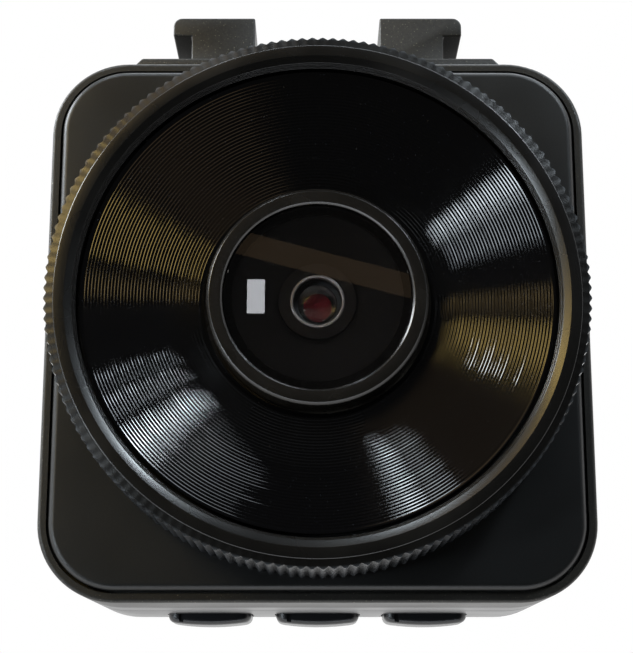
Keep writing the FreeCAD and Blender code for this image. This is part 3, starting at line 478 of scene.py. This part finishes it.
hub = {
    "bevel": 0.3 * mm,
    "innerBevel": 0.2 * mm,
    "radius": 11.5 * mm,
    "bore": 9.85 * mm,
    "ledge": 8.9 * mm,
    "base": 9.65 * mm,
    "flange": 1.0 * mm,
    "ledgeThickness": 0.3 * mm,
    "shoulderRound": 0.15 * mm,
    "faceRound": 0.12 * mm,
    "innerRound": 0.08 * mm,
    "steps": 256,
    "dark": "#0c0a08",
    "light": "#13110e",
    "worn": "#2a2722",
    "paintedHighlight": "#2f2b25",          # painted highlight along its outer edge
    "highlightFrom": 11.35 * mm,
    "highlightTo": 11.6 * mm,
    "rough": 0.26,
    "roughSwing": 0.03,
    "relief": 0.004 * mm,
    "ior": 1.65,
    "grain": 0.07 * mm,
    "patch": 3 * mm,
}


def makeHub(shape):
    front, back = frontOf("hub_ring"), backOf("hub_ring")
    flangeFront = back - shape["flange"]
    ledgeFront = backOf("glass_gasket")
    ledgeBack = ledgeFront + shape["ledgeThickness"]
    outline = softened([
        (shape["base"], back, 0),
        (radiusOf("hub_ring"), back, 0),
        (radiusOf("hub_ring"), flangeFront, 0),
        (shape["radius"], flangeFront, 0),
        (shape["radius"], front + shape["bevel"], shape["shoulderRound"]),
        (shape["radius"] - shape["bevel"], front, shape["faceRound"]),
        (shape["bore"] + shape["innerBevel"], front, shape["innerRound"]),
        (shape["bore"], front + shape["innerBevel"], shape["innerRound"]),
        (shape["bore"], ledgeFront, 0),
        (shape["ledge"], ledgeFront, 0),
        (shape["ledge"], ledgeBack, 0),
        (shape["base"], ledgeBack, 0),
    ])
    finish = anodisedAluminium("brown-black anodised aluminium", shape)
    addPiece("hubRing", turnedRing(outline, shape["steps"]), finish, "camera", ["hub_ring"])


makeHub(hub)


# Window glass: a disc ground flat and polished, slightly smoked. It mirrors lamps and dims what is behind.

glass = {
    "chamfer": 0.12 * mm,
    "steps": 192,
    "colour": "#b4b0ae",
    "ior": 1.52,            # crown glass
    "rough": 0.0,
}


# Glass lets light from the lamps through as a plain tint, so that what lies behind it is lit
def clearGlass(name, look):
    tint = toLinear(look["colour"])
    settings = {"IOR": look["ior"], "Roughness": look["rough"],
                "Transmission Weight": 1.0, "Base Color": tint}
    material, tree, shader, where = newFinish(name, settings)
    path = addNode(tree, "ShaderNodeLightPath")
    through = addNode(tree, "ShaderNodeBsdfTransparent", {"Color": tint})
    parts = {0: path.outputs["Is Shadow Ray"], 1: shader.outputs["BSDF"], 2: through.outputs["BSDF"]}
    mix = addNode(tree, "ShaderNodeMixShader", links=parts)
    tree.links.new(mix.outputs["Shader"], tree.nodes["Material Output"].inputs["Surface"])
    return material


def makeWindowGlass(shape):
    front, back, radius = frontOf("cover_glass"), backOf("cover_glass"), radiusOf("cover_glass")
    chamfer = shape["chamfer"]
    points = [(0, front), (radius / 2, front), (radius - chamfer, front), (radius, front + chamfer),
              (radius, back - chamfer), (radius - chamfer, back), (radius / 2, back), (0, back)]
    bm = turnedDisc(points, shape["steps"])
    addPiece("windowGlass", bm, clearGlass("crown glass", shape), "camera", ["cover_glass"])


makeWindowGlass(glass)


# Front panel: a black plate whose edges roll over into the gap inside the rim. It's moulded ABS against an
# etched steel face, which gives an even satin with a soft sheen along the rolled edges.

panel = {
    "corner": 7.25 * mm,
    "edgeRound": 1.4 * mm,
    "bore": 24.7 * mm,
    "support": 3.4 * mm,
    "backRound": 0.15 * mm,
    "leastCorner": 0.2 * mm,
    "rollSteps": 10,
    "cornerSteps": 20,
    "sideSteps": 16,
    "ior": 1.54,            # ABS
    "dark": "#0b0c0c",
    "light": "#121313",
    "speck": "#3a3b3a",
    "rough": 0.42,
    "roughSwing": 0.04,
    "grain": 0.09 * mm,
    "patch": 6 * mm,
    "speckSize": 0.05 * mm,
    "speckFrom": 0.84,
    "relief": 0.006 * mm,
}


# A rounded rectangle across Y about the lens axis, with the same number of points for every inset
def casingLoop(halfX, halfZ, corner, inset, along, shape):
    corner = max(corner - inset, shape["leastCorner"])
    halfX, halfZ = halfX - inset, halfZ - inset
    loop = []
    for quarter, (sideX, sideZ) in enumerate([(1, 1), (-1, 1), (-1, -1), (1, -1)]):
        centre = Vector((lensX + sideX * (halfX - corner), along, lensZ + sideZ * (halfZ - corner)))
        for step in range(shape["cornerSteps"] + 1):
            angle = math.pi / 2 * (quarter + step / shape["cornerSteps"])
            loop.append(centre + Vector((corner * math.cos(angle), 0, corner * math.sin(angle))))
        end = loop[-1]
        across = Vector((-2 * sideX * (halfX - corner), 0, 0))
        if quarter % 2:
            across = Vector((0, 0, -2 * sideZ * (halfZ - corner)))
        for step in range(1, shape["sideSteps"]):
            loop.append(end + across * step / shape["sideSteps"])
    return loop


# A circle about the lens axis with its points at the same angles as those of another loop
def boreLoop(radius, along, other):
    return [aroundLens(radius, along, math.atan2(point.z - lensZ, point.x - lensX)) for point in other]


def makePanel(shape):
    low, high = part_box("front_panel")
    halfX, halfZ = (high.x - low.x) / 2, (high.z - low.z) / 2
    rolled = softened([
        (shape["support"], high.y, 0),
        (0, high.y, shape["backRound"]),
        (0, low.y, shape["edgeRound"]),
        (shape["support"], low.y, 0),
    ], shape["rollSteps"])
    loops = [casingLoop(halfX, halfZ, shape["corner"], inset, along, shape) for inset, along in rolled]
    loops.append(boreLoop(shape["bore"], low.y, loops[0]))
    loops.append(boreLoop(shape["bore"], high.y, loops[0]))
    bm = bmesh.new()
    skin(bm, loops)
    finish = mouldedPlastic("satin black ABS", shape)
    addPiece("frontPanel", bm, finish, "camera", ["front_panel"])


makePanel(panel)


# Shoe and buttons

# A closed prism: points (across, up) carried along Y
def prism(corners, low, high, steps=4):
    bm = bmesh.new()
    outline = softened(corners, steps)
    ends = [[Vector((x, along, z)) for x, z in outline] for along in (low, high)]
    rings = skin(bm, ends, closed=False)
    for ring in rings:
        bm.faces.new(ring)
    bmesh.ops.recalc_face_normals(bm, faces=bm.faces[:])
    return bm


# Joins closed solids into one and rounds its edges
def fused(solids, shape):
    helpers = [asHelper(bm) for bm in solids]
    for other in helpers[1:]:
        union = helpers[0].modifiers.new("union", "BOOLEAN")
        union.operation = "UNION"
        union.solver = "EXACT"
        union.object = other
    bevel = helpers[0].modifiers.new("edges", "BEVEL")
    bevel.width = shape["edge"]
    bevel.segments = shape["edgeSegments"]
    bevel.limit_method = "ANGLE"
    bevel.angle_limit = math.radians(shape["edgeFrom"])
    return settled(helpers)


def boxSolid(centre, size):
    bm = bmesh.new()
    bmesh.ops.create_cube(bm, size=1.0)
    bmesh.ops.scale(bm, vec=size, verts=bm.verts[:])
    bmesh.ops.translate(bm, vec=centre, verts=bm.verts[:])
    return bm


def asHelper(bm):
    bmesh.ops.recalc_face_normals(bm, faces=bm.faces[:])
    mesh = bpy.data.meshes.new("helper")
    bm.to_mesh(mesh)
    bm.free()
    helper = bpy.data.objects.new("helper", mesh)
    bpy.context.scene.collection.objects.link(helper)
    return helper


# Cuts one solid out of another
def carved(bm, cutter):
    helpers = [asHelper(bm), asHelper(cutter)]
    cut = helpers[0].modifiers.new("cut", "BOOLEAN")
    cut.operation = "DIFFERENCE"
    cut.solver = "EXACT"
    cut.object = helpers[1]
    return settled(helpers)


# Applies the first helper's modifiers and clears the helpers away
def settled(helpers):
    scene = bpy.context.evaluated_depsgraph_get()
    result = bmesh.new()
    result.from_mesh(bpy.data.meshes.new_from_object(helpers[0].evaluated_get(scene)))
    for helper in helpers:
        bpy.data.objects.remove(helper)
    return result


shoe = {
    "padHeight": 2.3 * mm,
    "padChamfer": 0.8 * mm,
    "railOuter": 17.1 * mm,
    "railInner": 7.4 * mm,
    "webOuter": 14.9 * mm,
    "lipThickness": 2.3 * mm,
    "railCorner": 1.6 * mm,
    "railHalfLength": 8.5 * mm,
    "seatHalfWidth": 6.0 * mm,
    "seatHalfLength": 4.5 * mm,
    "seatHeight": 0.4 * mm,
    "edge": 0.2 * mm,
    "edgeSegments": 3,
    "edgeFrom": 40,          # degrees between two faces from which their edge is rounded
    "railSteps": 8,
    "ior": 1.54,
    "dark": "#14120e",
    "light": "#211f19",
    "speck": "#6a6558",
    "rough": 0.5,
    "roughSwing": 0.04,
    "grain": 0.14 * mm,
    "patch": 5 * mm,
    "speckSize": 0.07 * mm,
    "speckFrom": 0.76,
    "relief": 0.015 * mm,
}

grainedPlastic = mouldedPlastic("grained black ABS", shoe)


def makeShoe(shape):
    low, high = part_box("mount_shoe")
    padTop = low.z + shape["padHeight"]
    edge = shape["padChamfer"]
    pad = prism([(low.x, low.z, 0), (high.x, low.z, 0),
                 (high.x, padTop - edge, 0), (high.x - edge, padTop, 0),
                 (low.x + edge, padTop, 0), (low.x, padTop - edge, 0)], low.y, high.y)
    sunk = padTop - shape["padHeight"] / 2
    seat = prism([(-shape["seatHalfWidth"], sunk, 0), (shape["seatHalfWidth"], sunk, 0),
                  (shape["seatHalfWidth"], padTop + shape["seatHeight"], 0),
                  (-shape["seatHalfWidth"], padTop + shape["seatHeight"], 0)],
                 -shape["seatHalfLength"], shape["seatHalfLength"])
    rails = []
    for side in (-1, 1):
        corners = [
            (side * shape["railInner"], sunk, 0),
            (side * shape["webOuter"], sunk, 0),
            (side * shape["webOuter"], high.z - shape["lipThickness"], 0),
            (side * shape["railOuter"], high.z - shape["lipThickness"], 0),
            (side * shape["railOuter"], high.z, shape["railCorner"]),
            (side * shape["railInner"], high.z, 0),
        ]
        rails.append(prism(corners, -shape["railHalfLength"], shape["railHalfLength"], shape["railSteps"]))
    bm = fused([pad, seat] + rails, shape)
    addPiece("mountShoe", bm, grainedPlastic, "camera", ["mount_shoe"])


makeShoe(shoe)

casingLook = {
    "ior": 1.54,
    "dark": "#121316",
    "light": "#191a1e",
    "speck": "#3c3e42",
    "rough": 0.36,
    "roughSwing": 0.04,
    "grain": 0.1 * mm,
    "patch": 6 * mm,
    "speckSize": 0.05 * mm,
    "speckFrom": 0.84,
    "relief": 0.006 * mm,
}
casingPlastic = mouldedPlastic("satin black casing ABS", casingLook)

# Buttons: the same plastic as the casing. Each cap is crowned and rolls over into its walls.

button = {
    "flangeOver": 0.7 * mm,     # how far the flange reaches past the cap
    "flange": 0.8 * mm,
    "capHeight": 3.15 * mm,     # from the lowest point up to the flange
    "stem": 2.4 * mm,
    "corner": 1.2 * mm,
    "roll": 0.7 * mm,
    "crown": 0.4 * mm,
    "mark": 0.5 * mm,
    "markDepth": 0.25 * mm,
    "markFrom": 1.3 * mm,       # from the cap's left end to its mark
    "leastCorner": 0.05 * mm,
    "innerCorner": 0.2 * mm,
    "rollSteps": 6,
    "cornerSteps": 8,
    "sideSteps": 10,
    "sharp": 40,
}


# A rounded rectangle across Z, drawn round from the right-hand side
def capLoop(centre, halfX, halfY, corner, height, shape):
    loop = []
    corner = max(corner, shape["leastCorner"])
    for quarter, (sideX, sideY) in enumerate([(1, 1), (-1, 1), (-1, -1), (1, -1)]):
        middle = Vector((centre.x + sideX * (halfX - corner), centre.y + sideY * (halfY - corner), 0))
        for step in range(shape["cornerSteps"] + 1):
            angle = math.pi / 2 * (quarter + step / shape["cornerSteps"])
            loop.append(middle + Vector((corner * math.cos(angle), corner * math.sin(angle), 0)))
        end = loop[-1]
        across = Vector((-2 * sideX * (halfX - corner), 0, 0))
        if quarter % 2:
            across = Vector((0, -2 * sideY * (halfY - corner), 0))
        for step in range(1, shape["sideSteps"]):
            loop.append(end + across * step / shape["sideSteps"])
    for point in loop:
        point.z = height(point.x - centre.x)
    return loop


def makeButton(place, shape):
    node = "button_" + place
    low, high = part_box(node)
    over = shape["flangeOver"]
    halfX = (high.x - low.x) / 2 - over
    halfY = (high.y - low.y - over) / 2
    centre = Vector(((low.x + high.x) / 2, low.y + halfY, 0))
    flangeCentre = Vector((centre.x, (low.y + high.y) / 2, 0))
    flangeFrom = low.z + shape["capHeight"]
    flangeTo = flangeFrom + shape["flange"]

    def crowned(rise):
        return lambda x: low.z + rise + shape["crown"] * (x / halfX) ** 2

    def flat(height):
        return lambda x: height

    loops = []
    for step in range(shape["rollSteps"] + 1):
        angle = math.pi / 2 * step / shape["rollSteps"]
        inset = shape["roll"] * (1 - math.sin(angle))
        rise = shape["roll"] * (1 - math.cos(angle))
        corner = shape["corner"] - inset
        loops.append(capLoop(centre, halfX - inset, halfY - inset, corner, crowned(rise), shape))
    halfStem = shape["stem"] / 2
    loops.append(capLoop(centre, halfX, halfY, shape["corner"], flat(flangeFrom), shape))
    loops.append(capLoop(flangeCentre, halfX + over, halfY + over / 2, 0, flat(flangeFrom), shape))
    loops.append(capLoop(flangeCentre, halfX + over, halfY + over / 2, 0, flat(flangeTo), shape))
    loops.append(capLoop(centre, halfStem, halfStem, 0, flat(flangeTo), shape))
    loops.append(capLoop(centre, halfStem, halfStem, 0, flat(high.z), shape))
    bm = bmesh.new()
    innerX, innerY = (halfX - shape["roll"]) / 2, (halfY - shape["roll"]) / 2
    inner = capLoop(centre, innerX, innerY, shape["innerCorner"], crowned(0), shape)
    rings = skin(bm, [inner] + loops, closed=False)
    fan(bm, rings[0], (centre.x, centre.y, low.z))
    fan(bm, rings[-1], (centre.x, centre.y, high.z))
    markX = centre.x - halfX + shape["markFrom"] + shape["mark"] / 2
    mark = boxSolid((markX, low.y, low.z + shape["capHeight"] / 2 - shape["flange"]),
                    (shape["mark"], 2 * shape["markDepth"], shape["capHeight"]))
    name, body = "button" + place.capitalize(), place + "_button"
    addPiece(name, carved(bm, mark), casingPlastic, body, [node], shape["sharp"])


for place in ("left", "middle", "right"):
    makeButton(place, button)


# Finishes for the CAD pieces that are kept, one for each slot of the record that still shows.
# Each comment says how the surface was made and what that gives the eye.

plainLooks = {
    # moulded against a sparked face, which kills its sheen
    "housing_black": {"name": "matt black PC", "dark": "#030303", "light": "#060606", "grain": 0.3 * mm,
                      "settings": {"Roughness": 0.8, "IOR": 1.58, "Specular IOR Level": 0.3}},
    # cast between glass plates: black and mirror-like
    "window_glass": {"name": "smoked acrylic", "dark": "#060607", "light": "#08080a", "grain": 8 * mm,
                     "settings": {"Roughness": 0.05, "IOR": 1.49}},
    # polished, with a thin coat that leaves a deep red
    "red_glass": {"name": "red coated glass", "dark": "#d02838", "light": "#ee4a58", "grain": 1.0 * mm,
                  "settings": {"Roughness": 0.05, "IOR": 1.7}},
    # turned and bead blasted before dyeing, which leaves it dull
    "lens_black": {"name": "matt black anodised barrel", "dark": "#070708", "light": "#0d0d0e",
                   "grain": 0.2 * mm, "settings": {"Roughness": 0.4, "IOR": 1.65}},
    # turned and left bare: pale, with a soft gleam
    "lens_silver": {"name": "bright turned aluminium", "dark": "#dfe1e5", "light": "#f2f3f5",
                    "grain": 0.3 * mm, "settings": {"Roughness": 0.42, "Metallic": 1.0}},
    # plated over rolled or headed steel, warm grey
    "steel": {"name": "nickel plated steel", "dark": "#a5a5a2", "light": "#bdbdb8", "grain": 0.4 * mm,
              "settings": {"Roughness": 0.3, "Metallic": 1.0}},
    # foamed and slit, so it is open and has no gloss
    "foam_black": {"name": "closed-cell foam", "dark": "#0e0e0e", "light": "#1a1a1a", "grain": 0.2 * mm,
                   "settings": {"Roughness": 0.9, "IOR": 1.5}},
    # curtain coated resin, smooth over the weave
    "board_green": {"name": "green solder mask on glass laminate", "dark": "#0d3a20", "light": "#134a2a",
                    "grain": 0.5 * mm, "settings": {"Roughness": 0.35, "IOR": 1.5}},
    # transfer moulded with a fine matt face
    "chip_black": {"name": "epoxy moulding compound", "dark": "#161618", "light": "#1f1f22",
                   "grain": 0.15 * mm, "settings": {"Roughness": 0.55, "IOR": 1.55}},
    # cast film, smooth and amber
    "flex_amber": {"name": "polyimide film", "dark": "#8a4a10", "light": "#a55f1c", "grain": 0.6 * mm,
                   "settings": {"Roughness": 0.3, "IOR": 1.7}},
    # deep drawn foil, faintly uneven
    "battery_foil": {"name": "laminated aluminium foil", "dark": "#a8abb0", "light": "#c2c5ca",
                     "grain": 1.5 * mm, "settings": {"Roughness": 0.35, "Metallic": 1.0}},
    # stamped from rolled strip
    "display_metal": {"name": "rolled steel frame", "dark": "#7e8085", "light": "#96989d",
                      "grain": 0.5 * mm, "settings": {"Roughness": 0.35, "Metallic": 1.0}},
}

opticalGlass = {
    "colour": "#e6ecef",
    "ior": 1.62,            # dense flint, ground and polished clear
    "rough": 0.0,
}


def plainFinish(look):
    material, tree, shader, where = newFinish(look["name"], look["settings"])
    tones, grain = addTones(tree, where, look["grain"], 2.0, look["dark"], look["light"])
    tree.links.new(tones, shader.inputs["Base Color"])
    return material


finishes = {slot: plainFinish(look) for slot, look in plainLooks.items()}
finishes["grained_black"] = grainedPlastic
finishes["casing_black"] = casingPlastic
finishes["lens_glass"] = clearGlass("optical glass", opticalGlass)


def finishCadNodes():
    for part in frame["record"]["subparts"]:
        node = nodes[part["node"]]
        if not node.hide_render:
            node.data.materials.clear()
            node.data.materials.append(finishes[part["material_slot"]])


# Trim ring round the lens: turned aluminium with rolled edges. What lies inside it are the CAD pieces.

trim = {
    "width": 0.3 * mm,
    "roll": 0.12 * mm,
    "rollSteps": 6,
    "steps": 192,
    "sharp": 35,
}


def makeTrimRing(shape):
    front, back, outer = frontOf("lens_trim_ring"), backOf("lens_trim_ring"), radiusOf("lens_trim_ring")
    inner, roll = outer - shape["width"], shape["roll"]
    corners = [(outer, back, 0), (outer, front, roll), (inner, front, roll), (inner, back, 0)]
    bm = turnedRing(softened(corners, shape["rollSteps"]), shape["steps"])
    finish = finishes["lens_silver"]
    addPiece("trimRing", bm, finish, "camera", ["lens_trim_ring"], shape["sharp"])


makeTrimRing(trim)
finishCadNodes()
print("CAD pieces finished")


# Studio: a pale floor, a white surround that is dark in front of the face, a soft box overhead, and small
# lamps. The grooves of the dish throw each lamp into a fan of light, so a lamp is set by the fan it makes.

studio = {
    "floorDrop": 0.30,          # from the lowest point of the camera body
    "floorRadius": 8.0,
    "floorTone": "#e9e8e6",
    "floorGrain": 0.02,
    "floorLight": "#ecebe9",
    "floorSides": 96,
    "surround": "#ffffff",
    "tentAxis": (0, 0.971, -0.237),
    "tentFrom": -0.29,          # how far round from the front the bright tent starts
    "tentTo": -0.19,
    "tentGlow": 1.35,
    "frontGlow": 0.03,
    "lampDistance": 0.8,
}

coolWhite = "#eaf6ff"

# around: the way that the lamp's highlight leans from the lens axis, in degrees from +X. lean: how far.
# spread and reach: how far the highlight runs around and along that way. glow: the lamp's brightness.
lamps = {
    "rightWhite": {"around": 210, "lean": 27, "spread": 7, "reach": 9, "glow": 20, "colour": coolWhite},
    "rightGrey": {"around": 200, "lean": 29, "spread": 12, "reach": 6, "glow": 7, "colour": coolWhite},
    "lowerLeftWhite": {"around": 42.5, "lean": 27, "spread": 6, "reach": 9, "glow": 42, "colour": coolWhite},
    "lowerLeftThin": {"around": 31, "lean": 28, "spread": 2, "reach": 7, "glow": 22, "colour": coolWhite},
    "lowerLeftLine": {"around": 24, "lean": 29, "spread": 1.5, "reach": 6, "glow": 16, "colour": coolWhite},
    "bottomWhite": {"around": 112, "lean": 27, "spread": 4, "reach": 9, "glow": 22, "colour": coolWhite},
    "bottomGrey": {"around": 119, "lean": 28, "spread": 6, "reach": 7, "glow": 7, "colour": coolWhite},
    "gold": {"around": 163, "lean": 21, "spread": 13, "reach": 14, "glow": 6.5, "colour": "#ffdc84"},
    "goldEdge": {"around": 177, "lean": 19, "spread": 5, "reach": 12, "glow": 3, "colour": "#ffdc98"},
    "brown": {"around": 130, "lean": 17, "spread": 38, "reach": 12, "glow": 0.6, "colour": "#ffd9a8"},
    "lowerGrey": {"around": 74, "lean": 37, "spread": 54, "reach": 6, "glow": 3.4, "colour": "#eef6ff"},
    "upperGrey": {"around": 253, "lean": 37.5, "spread": 96, "reach": 6, "glow": 3.5, "colour": "#eef6ff"},
    "leftSoft": {"around": 160, "lean": 41, "spread": 26, "reach": 10, "glow": 22, "colour": "#f4faff"},
}

# Boxes that stand at a place measured from the lens: one overhead, and two whose images lie in the window
boxes = {
    "softBox": {"centre": (0.22, 0.42, 1.15), "size": (0.95, 0.85), "glow": 2.0, "colour": "#e9f3ff"},
    "windowPatch": {"centre": (-0.0445, -0.967, 0.252), "size": (0.013, 0.025),
                    "glow": 7, "colour": "#f4f8ff"},
    "windowBand": {"centre": (0.01, -0.955, 0.272), "size": (0.16, 0.017),
                   "glow": 0.4, "colour": "#c9a880", "turn": 14},
}


def addFloor(room):
    bm = bmesh.new()
    bmesh.ops.create_circle(bm, cap_ends=True, segments=room["floorSides"], radius=room["floorRadius"])
    mesh = bpy.data.meshes.new("floor")
    bm.to_mesh(mesh)
    bm.free()
    floor = bpy.data.objects.new("floor", mesh)
    floor.location = (0, 0, cadLow.z - room["floorDrop"])
    material, tree, shader, where = newFinish("matt painted floor", {"Roughness": 0.8})
    tones, grain = addTones(tree, where, room["floorGrain"], 2.0, room["floorTone"], room["floorLight"])
    tree.links.new(tones, shader.inputs["Base Color"])
    mesh.materials.append(material)
    bpy.context.scene.collection.objects.link(floor)
    floor.visible_diffuse = False
    floor.visible_glossy = False


# The surround is plain white to the eye. As a light it is a white tent, open and dark in front of the face.
def addSurround(room):
    world = bpy.data.worlds.new("surround")
    world.use_nodes = True
    tree = world.node_tree
    plain = tree.nodes["Background"]
    plain.inputs["Color"].default_value = toLinear(room["surround"])
    direction = addNode(tree, "ShaderNodeTexCoord").outputs["Generated"]
    axis = {"operation": "DOT_PRODUCT", 1: room["tentAxis"]}
    turned = addNode(tree, "ShaderNodeVectorMath", axis, {0: direction}).outputs["Value"]
    limits = {"From Min": room["tentFrom"], "From Max": room["tentTo"],
              "To Min": room["frontGlow"], "To Max": room["tentGlow"]}
    strength = addNode(tree, "ShaderNodeMapRange", limits, {"Value": turned}).outputs["Result"]
    white = {"Color": toLinear(room["surround"])}
    light = addNode(tree, "ShaderNodeBackground", white, {"Strength": strength})
    path = addNode(tree, "ShaderNodeLightPath")
    parts = {0: path.outputs["Is Camera Ray"], 1: light.outputs["Background"], 2: plain.outputs["Background"]}
    mix = addNode(tree, "ShaderNodeMixShader", links=parts)
    tree.links.new(mix.outputs["Shader"], tree.nodes["World Output"].inputs["Surface"])
    bpy.context.scene.world = world


def addLamp(name, place, aim, size, glow, colour, upright):
    data = bpy.data.lights.new(name, "AREA")
    data.shape = "RECTANGLE"
    data.size, data.size_y = size
    data.energy = glow * math.pi * size[0] * size[1]
    data.color = toLinear(colour)[:3]
    light = bpy.data.objects.new(name, data)
    back = (place - aim).normalized()
    across = upright.cross(back).normalized()
    along = back.cross(across)
    turn = Matrix((across, along, back)).transposed().to_4x4()
    light.matrix_world = Matrix.Translation(place) @ turn
    light.visible_camera = False
    bpy.context.scene.collection.objects.link(light)


# A face tilted to lean towards around shows the eye the lamp that stands at the mirror direction
def addLamps(settings, room):
    aim = Vector((lensX, frontOf("grip_ring"), lensZ))
    eye = Vector((0, -math.cos(cameraSettings["below"]), -math.sin(cameraSettings["below"])))
    for name, lamp in settings.items():
        around, lean = math.radians(lamp["around"]), math.radians(lamp["lean"])
        outward = Vector((math.cos(around), 0, math.sin(around)))
        tilted = Vector((0, -math.cos(lean), 0)) + outward * math.sin(lean)
        toward = 2 * tilted.dot(eye) * tilted - eye
        distance = room["lampDistance"]
        wide = 2 * math.sin(lean) * math.radians(lamp["spread"]) * distance
        long = 2 * math.radians(lamp["reach"]) * distance
        addLamp(name, aim + toward * distance, aim, (wide, long), lamp["glow"], lamp["colour"], outward)
    for name, box in boxes.items():
        turn = math.radians(box.get("turn", 0))
        upright = Vector((math.sin(turn), 0, math.cos(turn))) if box["centre"][1] < 0 else Vector((0, 1, 0))
        addLamp(name, aim + Vector(box["centre"]), aim, box["size"], box["glow"], box["colour"], upright)


addFloor(studio)
addSurround(studio)
addLamps(lamps, studio)
bpy.context.scene.view_settings.view_transform = "Standard"
print("studio lit")
